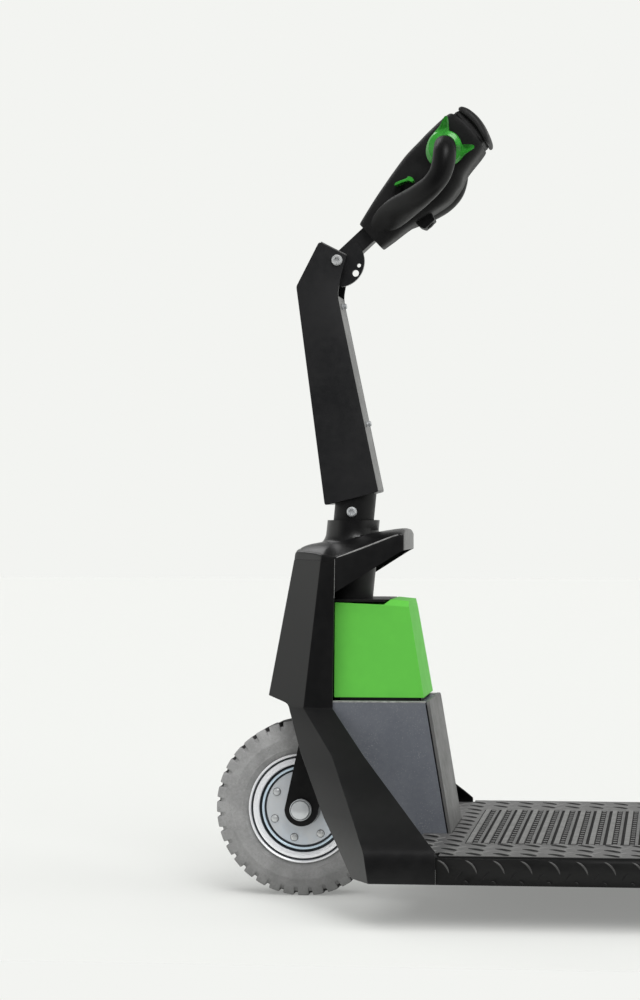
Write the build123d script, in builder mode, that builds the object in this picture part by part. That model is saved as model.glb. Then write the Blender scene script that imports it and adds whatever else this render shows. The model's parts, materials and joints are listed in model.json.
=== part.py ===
"""Electric tow tug with a stand-on platform, one steered drive wheel and a tiller.

Millimetres. +Z is up, the drive wheel leads towards -X and the platform trails towards +X.
The origin lies on the ground, in the middle of the overall length and width.
Lengths along X are drawn from the drive axle. Heights of the platform are drawn from the ground,
and those of the column, tiller, fairing, hood, box and battery from the top of the drive wheel.
"""
import os
from math import cos, hypot, radians, sin, tan

from build123d import *

os.makedirs("parts", exist_ok=True)

# Fits and gaps
press_gap = 0.05
running_gap = 0.05
seam = 0.3
side_clearance = 4.0
cut_over = 1.0

# Drive wheel
tyre_radius = 130.0
tyre_width = 76.0
tread_width = 56.0
shoulder_drop = 8.0
bead_radius = 77.0
bead_width = 62.0
lug_count = 36
lug_turn = 5.0
lug_gap = 6.0
lug_depth = 5.0
rim_lip_radius = 81.0
rim_width = 72.0
rim_wall = 4.0
rim_lip_round = 2.0
web_recess = 8.0
web_step = 2.0
web_thickness = 6.0
ridge_radius = 64.0
ridge_height = 5.0
ridge_half = 1.5
ridge_foot = 3.5
rim_bolt_circle = 46.0
rim_bolt_count = 7
rim_bolt_turn = -4.6
rim_bolt_radius = 3.0
rim_bolt_head_radius = 6.5
rim_bolt_head_height = 4.0
rim_bolt_length = 18.0
axle_radius = 12.5
wheel_bearing_radius = 26.0
wheel_bearing_width = 13.0
bearing_boss_wall = 5.0
bearing_inset = 0.5
drum_radius = 52.0
drum_wall = 12.0
magnet_thickness = 2.5
magnet_width = 30.0
air_gap = 0.8
stator_width = 22.0
winding_overhang = 2.5
winding_inset = 1.5
winding_inner_radius = 22.0

# Fork and steering column
column_offset = 28.7
column_lean = 5.71
fork_leg_thickness = 9.0
fork_leg_end_radius = 25.0
crown_length = 68.0
crown_thickness = 19.0
crown_clearance = 7.0
crown_boss_radius = 28.0
steerer_radius = 20.0
steerer_wall = 6.0
column_bearing_radius = 34.0
column_bearing_width = 15.0
bearing_recess = 2.0
head_tube_radius = 40.0
head_tube_bottom = 38.0
head_tube_top = 238.0
head_tube_bore = 30.0
axle_cap_radius = 16.0
axle_cap_length = 11.0
axle_cap_chamfer = 2.0
axle_stub = 6.0
axle_spacer_wall = 4.5

# Tiller arm
sleeve_radius = 30.0
sleeve_bottom = 288.0
sleeve_top = 343.0
arm_half_width = 34.0
arm_wall = 3.0
arm_top_front = (24.0, 708.0)
arm_top_rear = (65.0, 687.0)
arm_notch = (57.0, 660.0)
arm_rear_bend = (51.5, 628.5)
arm_bottom_rear = (111.0, 338.0)
arm_bottom_front = (32.5, 318.0)
arm_front_bend = (-10.0, 642.0)
cover_thickness = 3.0
cover_bottom_gap = 12.0
cover_screw_heights = (103.0, 282.0)
cover_screw_radius = 2.0
cover_screw_head = 4.5
cover_screw_head_height = 2.5
cover_bar_depth = 6.0
cover_bar_height = 14.0
cross_bolt_rise = 20.5
cross_bolt_radius = 4.0
cross_bolt_head = 7.5
pivot_bolt_radius = 5.0
pivot_bolt_head = 8.0
pivot_spacer_wall = 4.0
bolt_head_height = 5.0
socket_share = 0.5

# Tiller head, drawn along the neck (first) and across it (second) from the pivot
pivot_x = 51.0
pivot_z = 680.6
neck_angle = 42.6
neck_height = 26.0
neck_width = 24.0
neck_length = 74.0
neck_eye_radius = 15.0
index_radius = 38.5
index_thickness = 6.0
index_hole_circle = 31.2
index_small_hole = (-54.8, 3.0)
index_large_hole = (-78.0, 5.0)
index_start = -128.0
index_sweep = 133.0
head_start = 60.0
head_end = 267.0
head_wall = 3.0
head_corner = 12.0
head_split = 2.0
throttle_u = 229.0
throttle_n = 9.0
throttle_axle_radius = 8.0
throttle_tube_radius = 13.0
butterfly_radius = 33.0
butterfly_inner = 50.0
butterfly_thickness = 12.0
paddle_reach = 44.0
paddle_angle = 45.0
paddle_width = 24.0
paddle_overlap = 9.0
paddle_root_half = 9.0
paddle_tip_half = 3.5
grip_radius = 17.0
grip_route = ((92, -3, 28), (140, -23, 90), (200, -22, 100), (229, 9, 94))
grip_bends = (60.0, 34.0, 22.0)
grip_end = 63.0
axle_seat_depth = 14.0
pad_stroke = 6.0
pad_clearance = 1.0
pad_half_width = 44.0
pad_top = 44.0
pad_bottom = -28.0
pad_edge = 12.0
pad_bulge = 21.0
plunger_radius = 4.0
plunger_spacing = 50.0
plunger_length = 24.0
rocker_u = 150.0
rocker_n = 12.0
rocker_length = 28.0
rocker_thickness = 5.0
rocker_tilt = -28.6
rocker_inner = 40.0
rocker_width = 16.0
rocker_shaft_radius = 4.0
rocker_shaft_length = 14.0
horn_u = 136.0
horn_block_length = 20.0
horn_block_width = 28.0
horn_block_bottom = -51.0
horn_button_radius = 6.0
horn_button_proud = 3.0
horn_button_length = 6.5
horn_stroke = 2.0
board_start = 98.0
board_length = 100.0
board_width = 40.0
board_thickness = 2.0
board_level = -12.0
pillar_radius = 3.5
pillar_margin = 2.0

# Fairing and hood
panel_wall = 4.0
fairing_top = 238.0
fairing_waist = 23.0
fairing_flare = 222.0
fairing_knee = 139.0
fairing_foot = 107.0
fairing_crease_gap = 3.5
fairing_rear_gap = 5.5
lip_front = 37.0
lip_rear = 27.0
waist_front_x = -16.5
hood_wall = 4.0
hood_front = -12.5
hood_join = 55.0
hood_rear = 152.0
visor_lip = 6.0
collar_radius = 39.0
collar_bore = 36.0
collar_top = 296.0
collar_flare_radius = 60.0
collar_flare_bottom = 257.0
collar_flare_top = 280.0
collar_curve = (5.0, 8.0)
collar_root = 4.0

# Base box under the battery
box_half_width = 81.5
box_wall = 4.0
box_top = 31.0
box_rear_top = 190.0
box_rear_bottom = 222.0
box_front_top = 36.0
box_front_bottom = 165.0
well_wall = 3.0
well_bottom_x = 150.0
well_bend = -100.0
well_top = (112.0, 2.0)
rear_cover_thickness = 5.0
seat_inset = 6.0

# Battery
battery_bottom = 37.0
battery_top = 176.0
battery_top_front = 186.0
battery_front = 51.0
battery_rear_bottom = 181.0
battery_rear_top = 160.0
battery_half_bottom = 64.0
battery_half_top = 56.0
battery_notch_x = 122.0
battery_notch_half = 46.0
battery_wall = 3.0
battery_base_gap = 0.9
seat_front = 126.0
seat_half_width = 58.0
cell_radius = 12.5
cell_length = 65.0
cell_pitch = 25.5
cell_count = 4

# Platform
deck_half_width = 300.0
deck_front = 224.5
deck_length = 676.0
deck_nose = 160.0
deck_bottom = 63.0
deck_top = 100.0
deck_sheet = 3.0
mat_thickness = 4.0
mat_margin = 4.0
mat_box_gap = 2.0
mat_nose = 185.0
mat_nose_half_width = 270.0
rail_offset = 150.0
rail_width = 40.0
rail_wall = 4.0
cross_member_length = 46.0
backbone_half_width = 30.0
backbone_top = 140.0
backbone_rear_x = 118.0
backbone_gap = 5.0
backbone_throat = 10.0
backbone_waist = 28.0

# Rear rollers and tow coupling
roller_radius = 42.0
roller_width = 50.0
roller_chamfer = 3.0
roller_offset = 225.0
roller_setback = 100.0
roller_bore = 10.0
roller_side_gap = 2.0
bracket_thickness = 6.0
bracket_length = 56.0
rear_axle_stub = 6.0
tongue_half_width = 38.0
tongue_thickness = 12.0
tongue_reach = 90.0
tongue_anchor = 40.0
peg_radius = 10.0
peg_height = 62.0
peg_setback = 38.0
peg_chamfer = 2.0

# Electrics inside the box
controller_depth = 34.0
controller_height = 84.0
controller_gap = 3.2
controller_x = 182.0
controller_base = 112.0
controller_fins = 5
contactor_size = (30.0, 36.0, 40.0)
contactor_stud_radius = 3.0
contactor_stud_length = 8.0

# Places that follow from the sizes above
deck_rear = deck_front + deck_length
rear_end = deck_rear + tongue_reach
axle_x = (tyre_radius - rear_end) / 2
wheel_top = 2 * tyre_radius
lean = radians(column_lean)
rim_half = rim_width / 2
web_outer = rim_half - web_recess
web_inner = web_outer - web_thickness
barrel_radius = bead_radius - press_gap - rim_wall
drum_bore = drum_radius - drum_wall
magnet_bore = drum_bore - magnet_thickness
stator_radius = magnet_bore - air_gap
leg_inner = tyre_width / 2 + side_clearance
leg_outer = leg_inner + fork_leg_thickness
arm_inner = arm_half_width - arm_wall
box_floor = deck_top - wheel_top
cross_bolt_height = sleeve_bottom + cross_bolt_rise
pad_inner = head_end + pad_stroke + pad_clearance
rear_axle_x = deck_rear - roller_setback

SIDE = Plane(origin=(axle_x, 0, 0), x_dir=(1, 0, 0), z_dir=(0, -1, 0))
UPPER = Plane(origin=(axle_x, 0, wheel_top), x_dir=(1, 0, 0), z_dir=(0, -1, 0))
WHEEL = Plane(origin=(axle_x, 0, tyre_radius), x_dir=(1, 0, 0), z_dir=(0, 0, 1))
AXLE = Axis((axle_x, 0, tyre_radius), (0, 1, 0))


def column_x(height):
    """Where the leaning steering axis stands at a height over the wheel, from the drive axle."""
    return column_offset + (height + tyre_radius) * tan(lean)


def rise(height):
    """Length along the steering axis from the ground up to a height over the wheel."""
    return (wheel_top + height) / cos(lean)


column_foot = column_x(-wheel_top)
COLUMN = Plane(
    origin=(axle_x + column_foot, 0, 0), x_dir=(cos(lean), 0, -sin(lean)), z_dir=(0, -1, 0)
)
COLUMN_AXIS = Axis(COLUMN.origin, (sin(lean), 0, cos(lean)))

neck_turn = radians(neck_angle)
NECK = (cos(neck_turn), 0, sin(neck_turn))
HEAD = Plane(origin=(axle_x + pivot_x, 0, wheel_top + pivot_z), x_dir=NECK, z_dir=(0, -1, 0))


def level(height):
    """Horizontal plane at a height, drawn from the drive axle."""
    return Plane(origin=(axle_x, 0, height))


def station(distance, base=0.0):
    """Upright plane across the tug, at a distance behind the drive axle, drawn from a base height."""
    return Plane(origin=(axle_x + distance, 0, base), x_dir=(0, 1, 0), z_dir=(1, 0, 0))


def neck_station(distance, rise_across=0.0):
    """Plane across the tiller head, at a distance along the neck."""
    origin = HEAD.from_local_coords(Vector(distance, rise_across, 0))
    return Plane(origin=origin, x_dir=(0, 1, 0), z_dir=NECK)


def wheel_side(side, distance):
    """Plane square to the drive axle, facing out on the left (-1) or right (1) side."""
    return Plane(
        origin=(axle_x, side * distance, tyre_radius), x_dir=(1, 0, 0), z_dir=(0, side, 0)
    )


def on_column(across, along):
    """Side-view point given across and along the steering axis."""
    x = column_foot + across * cos(lean) + along * sin(lean)
    return x, along * cos(lean) - across * sin(lean)


def between(start, end, share):
    """Point part of the way from one side-view point to another."""
    return start[0] + share * (end[0] - start[0]), start[1] + share * (end[1] - start[1])


def left_normal(start, end):
    """Unit vector to the left of a walk from one point to the next."""
    run = hypot(end[0] - start[0], end[1] - start[1])
    return (start[1] - end[1]) / run, (end[0] - start[0]) / run


def shifted(path, distance):
    """Open path moved to its left by a distance, with its corners kept sharp."""
    normals = [left_normal(start, end) for start, end in zip(path, path[1:])]
    moved = []
    for point, before, after in zip(path, normals[:1] + normals, normals + normals[-1:]):
        share = distance / (1 + before[0] * after[0] + before[1] * after[1])
        moved.append(
            (point[0] + share * (before[0] + after[0]), point[1] + share * (before[1] + after[1]))
        )
    return moved


def wall(path, thickness):
    """Closed outline of a sheet that follows an open path and thickens to its left."""
    return list(path) + shifted(path, thickness)[::-1]


def keep(piece, name):
    """Labels a finished piece and writes it under that name."""
    piece.part.label = name
    export_step(piece.part, f"parts/{name}.step")


def turned(rings, plane, axis):
    """Solid of revolution for each outline given as radius and length along the axis."""
    with BuildPart() as piece:
        with BuildSketch(plane):
            for ring in rings:
                Polygon(*ring, align=None)
        revolve(axis=axis)
    return piece


def ring(inner, outer, start, end):
    """Outline of a plain ring, for turning."""
    return ((inner, start), (outer, start), (outer, end), (inner, end))


# Drive wheel: tyre
shoulder = (tyre_radius - shoulder_drop, (tyre_width + tread_width) / 4)
bulge_radius = (rim_lip_radius + shoulder[0]) / 2
with BuildPart() as tyre:
    with BuildSketch(WHEEL):
        with BuildLine():
            for side in (1, -1):
                bead = (bead_radius, side * bead_width / 2)
                wall_foot = (rim_lip_radius + seam, side * bead_width / 2)
                corner = (shoulder[0], side * shoulder[1])
                edge = (tyre_radius, side * tread_width / 2)
                Line(bead, wall_foot)
                ThreePointArc(wall_foot, (bulge_radius, side * tyre_width / 2), corner)
                Line(corner, edge)
            Line((tyre_radius, tread_width / 2), (tyre_radius, -tread_width / 2))
            Line((bead_radius, bead_width / 2), (bead_radius, -bead_width / 2))
        make_face()
    revolve(axis=AXLE)
    with BuildSketch(wheel_side(1, 0)):
        with PolarLocations(tyre_radius, lug_count, lug_turn):
            Rectangle(2 * lug_depth, lug_gap)
    extrude(amount=tyre_width, both=True, mode=Mode.SUBTRACT)
keep(tyre, "tyre")

# Drive wheel: two pressed rim halves, each with a lip, a ridge, a web and a bearing boss
bearing_seat = wheel_bearing_radius + press_gap
boss_inner = web_outer - wheel_bearing_width - 2 * bearing_inset
lip_seat = bead_width / 2 + press_gap
rim_profile = (
    (bead_radius - press_gap, press_gap),
    (bead_radius - press_gap, lip_seat),
    (rim_lip_radius, lip_seat + rim_lip_round),
    (rim_lip_radius, rim_half - rim_lip_round),
    (rim_lip_radius - rim_lip_round, rim_half),
    (rim_lip_radius - 3 * rim_lip_round, rim_half - rim_lip_round / 2),
    (barrel_radius, web_outer + web_step),
    (ridge_radius + ridge_foot, web_outer + web_step),
    (ridge_radius + ridge_half, web_outer + ridge_height),
    (ridge_radius - ridge_half, web_outer + ridge_height),
    (ridge_radius - ridge_foot, web_outer),
    (bearing_seat, web_outer),
    (bearing_seat, boss_inner),
    (bearing_seat + bearing_boss_wall, boss_inner),
    (bearing_seat + bearing_boss_wall, web_inner),
    (barrel_radius, web_inner),
    (barrel_radius, press_gap),
)
for name, side in (("rim_left", -1), ("rim_right", 1)):
    with BuildPart() as rim:
        with BuildSketch(WHEEL):
            Polygon(*[(radius, side * along) for radius, along in rim_profile], align=None)
        revolve(axis=AXLE)
        with BuildSketch(wheel_side(side, web_outer)):
            with PolarLocations(rim_bolt_circle, rim_bolt_count, rim_bolt_turn):
                Circle(rim_bolt_radius + press_gap)
        extrude(amount=-web_thickness, mode=Mode.SUBTRACT)
    keep(rim, name)

with BuildPart() as rim_bolts:
    for side in (-1, 1):
        web_face = wheel_side(side, web_outer)
        with BuildSketch(web_face):
            with PolarLocations(rim_bolt_circle, rim_bolt_count, rim_bolt_turn):
                RegularPolygon(rim_bolt_head_radius, 6)
        extrude(amount=rim_bolt_head_height)
        with BuildSketch(web_face):
            with PolarLocations(rim_bolt_circle, rim_bolt_count, rim_bolt_turn):
                Circle(rim_bolt_radius)
        extrude(amount=-rim_bolt_length)
keep(rim_bolts, "rim_bolts")

# Drive wheel: hub motor drum, magnets and bearings
with BuildPart() as motor_drum:
    with BuildSketch(WHEEL):
        Polygon(*ring(drum_bore, drum_radius, -web_inner, web_inner), align=None)
    revolve(axis=AXLE)
    for side in (-1, 1):
        with BuildSketch(wheel_side(side, web_inner)):
            with PolarLocations(rim_bolt_circle, rim_bolt_count, rim_bolt_turn):
                Circle(rim_bolt_radius + press_gap)
        extrude(amount=-(rim_bolt_length - web_thickness + cut_over), mode=Mode.SUBTRACT)
keep(motor_drum, "motor_drum")

magnet_half = magnet_width / 2
motor_magnets = turned(
    [ring(magnet_bore, drum_bore - press_gap, -magnet_half, magnet_half)], WHEEL, AXLE
)
keep(motor_magnets, "motor_magnets")

bearing_outer = web_outer - bearing_inset
bearing_inner = bearing_outer - wheel_bearing_width
wheel_bearings = turned(
    [
        ring(axle_radius + running_gap, wheel_bearing_radius, -bearing_outer, -bearing_inner),
        ring(axle_radius + running_gap, wheel_bearing_radius, bearing_inner, bearing_outer),
    ],
    WHEEL,
    AXLE,
)
keep(wheel_bearings, "wheel_bearings")

# Hub motor stator on the fixed axle
stator_half = stator_width / 2
motor_stator = turned(
    [ring(axle_radius + press_gap, stator_radius, -stator_half, stator_half)], WHEEL, AXLE
)
keep(motor_stator, "motor_stator")

winding_end = stator_half + winding_overhang
stator_windings = turned(
    [
        ring(winding_inner_radius, stator_radius - winding_inset, -winding_end, -stator_half),
        ring(winding_inner_radius, stator_radius - winding_inset, stator_half, winding_end),
    ],
    WHEEL,
    AXLE,
)
keep(stator_windings, "stator_windings")

axle_half = leg_outer + axle_stub
drive_axle = turned([ring(0, axle_radius, -axle_half, axle_half)], WHEEL, AXLE)
keep(drive_axle, "drive_axle")

spacer_start = bearing_outer + seam
spacer_radius = axle_radius + press_gap + axle_spacer_wall
axle_spacers = turned(
    [
        ring(axle_radius + press_gap, spacer_radius, -leg_inner, -spacer_start),
        ring(axle_radius + press_gap, spacer_radius, spacer_start, leg_inner),
    ],
    WHEEL,
    AXLE,
)
keep(axle_spacers, "axle_spacers")

with BuildPart() as axle_caps:
    for side in (-1, 1):
        cap_seat = wheel_side(side, leg_outer)
        with BuildSketch(cap_seat):
            Circle(axle_cap_radius)
        extrude(amount=axle_cap_length)
        with BuildSketch(cap_seat):
            Circle(axle_radius + press_gap)
        extrude(amount=axle_stub + press_gap, mode=Mode.SUBTRACT)
    cap_rims = axle_caps.edges().filter_by(GeomType.CIRCLE).group_by(Axis.Y)
    chamfer(cap_rims[0] + cap_rims[-1], length=axle_cap_chamfer)
keep(axle_caps, "axle_caps")

# Fork: crown under the steering column and a plate leg each side of the wheel
crown_bottom = rise(crown_clearance)
crown_top = crown_bottom + crown_thickness
lower_bearing_start = rise(head_tube_bottom) + bearing_recess
crown_half = crown_length / 2
with BuildPart() as fork_crown:
    with BuildSketch(COLUMN):
        Polygon(*ring(-crown_half, crown_half, crown_bottom, crown_top), align=None)
    extrude(amount=leg_inner, both=True)
    with BuildSketch(COLUMN):
        Polygon(
            *ring(steerer_radius + press_gap, crown_boss_radius, crown_top, lower_bearing_start - seam),
            align=None,
        )
    revolve(axis=COLUMN_AXIS)
keep(fork_crown, "fork_crown")

leg_front_top = on_column(-crown_half, crown_top)
leg_rear_top = on_column(crown_half, crown_top)
for name, side in (("fork_leg_left", 1), ("fork_leg_right", -1)):
    with BuildPart() as fork_leg:
        with BuildSketch(SIDE.offset(side * leg_inner)):
            with BuildLine():
                front = (-fork_leg_end_radius, tyre_radius)
                rear = (fork_leg_end_radius, tyre_radius)
                ThreePointArc(front, (0, tyre_radius - fork_leg_end_radius), rear)
                Polyline(rear, leg_rear_top, leg_front_top, front)
            make_face()
            with Locations((0, tyre_radius)):
                Circle(axle_radius + press_gap, mode=Mode.SUBTRACT)
        extrude(amount=side * fork_leg_thickness)
    keep(fork_leg, name)

# Steering column: steerer tube, fixed head tube and its two bearings
sleeve_top_along = rise(sleeve_top)
cross_centre = (column_x(cross_bolt_height), cross_bolt_height)
with BuildPart() as steerer_tube:
    with BuildSketch(COLUMN):
        Polygon(
            *ring(steerer_radius - steerer_wall, steerer_radius, crown_top, sleeve_top_along),
            align=None,
        )
    revolve(axis=COLUMN_AXIS)
    with BuildSketch(UPPER):
        with Locations(cross_centre):
            Circle(cross_bolt_radius + press_gap)
    extrude(amount=sleeve_radius, both=True, mode=Mode.SUBTRACT)
keep(steerer_tube, "steerer_tube")

tube_start = rise(head_tube_bottom)
tube_end = rise(head_tube_top)
seat_radius = column_bearing_radius + press_gap
seat_depth = column_bearing_width + bearing_recess
head_tube = turned(
    [
        (
            (seat_radius, tube_start),
            (head_tube_radius, tube_start),
            (head_tube_radius, tube_end),
            (seat_radius, tube_end),
            (seat_radius, tube_end - seat_depth),
            (head_tube_bore, tube_end - seat_depth),
            (head_tube_bore, tube_start + seat_depth),
            (seat_radius, tube_start + seat_depth),
        )
    ],
    COLUMN,
    COLUMN_AXIS,
)
keep(head_tube, "head_tube")

upper_bearing_start = tube_end - seat_depth
column_bearings = turned(
    [
        ring(
            steerer_radius + running_gap,
            column_bearing_radius,
            start,
            start + column_bearing_width,
        )
        for start in (lower_bearing_start, upper_bearing_start)
    ],
    COLUMN,
    COLUMN_AXIS,
)
keep(column_bearings, "column_bearings")

# Tiller arm: folded channel on a sleeve that slips over the steerer tube
sleeve_start = rise(sleeve_bottom)
with BuildPart() as tiller_sleeve:
    with BuildSketch(COLUMN):
        Polygon(
            *ring(steerer_radius + press_gap, sleeve_radius, sleeve_start, sleeve_top_along),
            align=None,
        )
    revolve(axis=COLUMN_AXIS)
    with BuildSketch(UPPER):
        with Locations(cross_centre):
            Circle(cross_bolt_radius + press_gap)
    extrude(amount=sleeve_radius, both=True, mode=Mode.SUBTRACT)
keep(tiller_sleeve, "tiller_sleeve")

arm_outline = (
    arm_top_front,
    arm_top_rear,
    arm_notch,
    arm_rear_bend,
    arm_bottom_rear,
    arm_bottom_front,
    arm_front_bend,
)
rear_run = hypot(arm_rear_bend[0] - arm_bottom_rear[0], arm_rear_bend[1] - arm_bottom_rear[1])
rear_along = Vector(arm_rear_bend[0] - arm_bottom_rear[0], 0, arm_rear_bend[1] - arm_bottom_rear[1])
ARM_REAR = Plane(
    origin=(axle_x + arm_bottom_rear[0], 0, wheel_top + arm_bottom_rear[1]),
    x_dir=rear_along,
    z_dir=(rear_along.Z, 0, -rear_along.X),
)
with BuildPart() as tiller_arm:
    for side in (1, -1):
        with BuildSketch(UPPER.offset(side * arm_inner)):
            Polygon(*arm_outline, align=None)
            with Locations((pivot_x, pivot_z)):
                Circle(pivot_bolt_radius + press_gap, mode=Mode.SUBTRACT)
        extrude(amount=side * arm_wall)
    with BuildSketch(UPPER):
        Polygon(*wall((arm_top_front, arm_front_bend, arm_bottom_front), arm_wall), align=None)
        Polygon(*wall((arm_bottom_front, arm_bottom_rear), arm_wall), align=None)
    extrude(amount=arm_inner, both=True)
    with BuildSketch(ARM_REAR.offset(-cover_thickness - cover_bar_depth)):
        for height in cover_screw_heights:
            with Locations((height, 0)):
                Rectangle(cover_bar_height, 2 * arm_inner)
                Circle(cover_screw_radius + press_gap, mode=Mode.SUBTRACT)
    extrude(amount=cover_bar_depth)
    with BuildSketch(COLUMN):
        Polygon(
            *ring(0, sleeve_radius + press_gap, sleeve_start, sleeve_top_along + arm_wall),
            align=None,
        )
    revolve(axis=COLUMN_AXIS, mode=Mode.SUBTRACT)
keep(tiller_arm, "tiller_arm")

with BuildPart() as arm_cover:
    with BuildSketch(ARM_REAR.offset(-cover_thickness)):
        with Locations(((cover_bottom_gap + rear_run) / 2, 0)):
            Rectangle(rear_run - cover_bottom_gap, 2 * (arm_inner - seam))
        for height in cover_screw_heights:
            with Locations((height, 0)):
                Circle(cover_screw_radius + press_gap, mode=Mode.SUBTRACT)
    extrude(amount=cover_thickness)
keep(arm_cover, "arm_cover")

with BuildPart() as arm_cover_screws:
    with BuildSketch(ARM_REAR):
        with Locations(*[(height, 0) for height in cover_screw_heights]):
            Circle(cover_screw_head)
    extrude(amount=cover_screw_head_height)
    with BuildSketch(ARM_REAR):
        with Locations(*[(height, 0) for height in cover_screw_heights]):
            Circle(cover_screw_radius)
    extrude(amount=-(cover_thickness + cover_bar_depth))
keep(arm_cover_screws, "arm_cover_screws")

# Cross bolt and pivot bolt: socket head on the left side, nut on the right side
tiller_bolt_sizes = (
    (cross_centre, sleeve_radius, cross_bolt_radius, cross_bolt_head),
    ((pivot_x, pivot_z), arm_half_width, pivot_bolt_radius, pivot_bolt_head),
)
with BuildPart() as tiller_bolts:
    for centre, half_span, shank_radius, head_radius in tiller_bolt_sizes:
        with BuildSketch(UPPER):
            with Locations(centre):
                Circle(shank_radius)
        extrude(amount=half_span, both=True)
        with BuildSketch(UPPER.offset(half_span)):
            with Locations(centre):
                Circle(head_radius)
        extrude(amount=bolt_head_height)
        with BuildSketch(UPPER.offset(half_span + bolt_head_height)):
            with Locations(centre):
                RegularPolygon(socket_share * head_radius, 6)
        extrude(amount=-bolt_head_height / 2, mode=Mode.SUBTRACT)
        with BuildSketch(UPPER.offset(-half_span)):
            with Locations(centre):
                RegularPolygon(head_radius, 6)
        extrude(amount=-bolt_head_height)
keep(tiller_bolts, "tiller_bolts")

# Tiller neck: flat bar on the pivot bolt with an index plate beside it
neck_half = neck_width / 2
index_outer = neck_half + index_thickness
with BuildPart() as pivot_spacers:
    with BuildSketch(UPPER.offset(index_outer + seam)):
        with Locations((pivot_x, pivot_z)):
            Circle(pivot_bolt_radius + pivot_spacer_wall)
            Circle(pivot_bolt_radius + press_gap, mode=Mode.SUBTRACT)
    extrude(amount=arm_inner - index_outer - seam)
    with BuildSketch(UPPER.offset(-neck_half - seam)):
        with Locations((pivot_x, pivot_z)):
            Circle(pivot_bolt_radius + pivot_spacer_wall)
            Circle(pivot_bolt_radius + press_gap, mode=Mode.SUBTRACT)
    extrude(amount=-(arm_inner - neck_half - seam))
keep(pivot_spacers, "pivot_spacers")

with BuildPart() as neck_bar:
    with BuildSketch(HEAD):
        Circle(neck_eye_radius)
        with Locations((neck_length / 2, 0)):
            Rectangle(neck_length, neck_height)
        Circle(pivot_bolt_radius + running_gap, mode=Mode.SUBTRACT)
    extrude(amount=neck_half, both=True)
keep(neck_bar, "neck_bar")

with BuildPart() as index_plate:
    with BuildSketch(HEAD.offset(neck_half)):
        with BuildLine():
            arc = CenterArc((0, 0), index_radius, index_start, index_sweep)
            Line((0, 0), arc @ 0)
            Line((0, 0), arc @ 1)
        make_face()
        Circle(neck_eye_radius)
        Circle(pivot_bolt_radius + running_gap, mode=Mode.SUBTRACT)
        for angle, radius in (index_small_hole, index_large_hole):
            turn = radians(angle)
            with Locations((index_hole_circle * cos(turn), index_hole_circle * sin(turn))):
                Circle(radius, mode=Mode.SUBTRACT)
    extrude(amount=index_thickness)
keep(index_plate, "index_plate")

# Tiller head: stations along the neck with underside, top and half width
head_stations = (
    (head_start, -30.0, 20.0, 27.0),
    (105.0, -37.0, 30.0, 33.0),
    (150.0, -46.0, 39.5, 36.0),
    (180.0, -51.0, 45.0, 38.0),
    (208.0, -45.5, 48.0, 42.0),
    (225.0, -37.5, 48.5, 45.0),
    (255.0, -35.0, 47.5, 46.0),
    (head_end, -30.0, 45.0, 46.0),
)
with BuildPart() as head_form:
    for along, low, high, half in head_stations:
        with BuildSketch(neck_station(along, (low + high) / 2)):
            RectangleRounded(2 * half, high - low, head_corner)
    loft(ruled=True)

with BuildPart() as head_shell:
    add(head_form.part)
    for along, low, high, half in head_stations:
        pull = head_wall if along == head_start else -head_wall if along == head_end else 0.0
        with BuildSketch(neck_station(along + pull, (low + high) / 2)):
            RectangleRounded(2 * (half - head_wall), high - low - 2 * head_wall, head_corner - head_wall)
    loft(ruled=True, mode=Mode.SUBTRACT)
    with BuildSketch(neck_station(head_start - cut_over)):
        Rectangle(neck_width + 2 * seam, neck_height + 2 * seam)
    extrude(amount=2 * head_wall, mode=Mode.SUBTRACT)
    with BuildSketch(HEAD):
        with Locations((throttle_u, throttle_n)):
            Circle(throttle_tube_radius + seam)
        with Locations((rocker_u, rocker_n)):
            Circle(rocker_shaft_radius + seam)
    extrude(amount=butterfly_inner, both=True, mode=Mode.SUBTRACT)
    with BuildSketch(neck_station(head_end + cut_over, throttle_n)):
        with GridLocations(plunger_spacing, 0, 2, 1):
            Circle(plunger_radius + seam)
    extrude(amount=-2 * head_wall, mode=Mode.SUBTRACT)

SPLIT = Plane(origin=HEAD.from_local_coords(Vector(0, head_split, 0)), x_dir=NECK, z_dir=HEAD.y_dir)
with BuildPart() as head_upper_shell:
    add(head_shell.part)
    split(bisect_by=SPLIT, keep=Keep.TOP)
keep(head_upper_shell, "head_upper_shell")

pillar_inset = pillar_radius + pillar_margin
with BuildPart() as head_lower_shell:
    board_bed = Plane(
        origin=HEAD.from_local_coords(Vector(board_start + board_length / 2, board_level, 0)),
        x_dir=NECK,
        z_dir=HEAD.y_dir,
    )
    with BuildSketch(board_bed):
        with GridLocations(board_length - 2 * pillar_inset, board_width - 2 * pillar_inset, 2, 2):
            Circle(pillar_radius)
    extrude(amount=-2 * index_radius)
    add(head_form.part, mode=Mode.INTERSECT)
    with BuildPart(mode=Mode.PRIVATE) as lower_half:
        add(head_shell.part)
        split(bisect_by=SPLIT, keep=Keep.BOTTOM)
    add(lower_half.part)
keep(head_lower_shell, "head_lower_shell")

with BuildPart() as control_board:
    with BuildSketch(board_bed):
        Rectangle(board_length, board_width)
    extrude(amount=board_thickness)
keep(control_board, "control_board")

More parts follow.
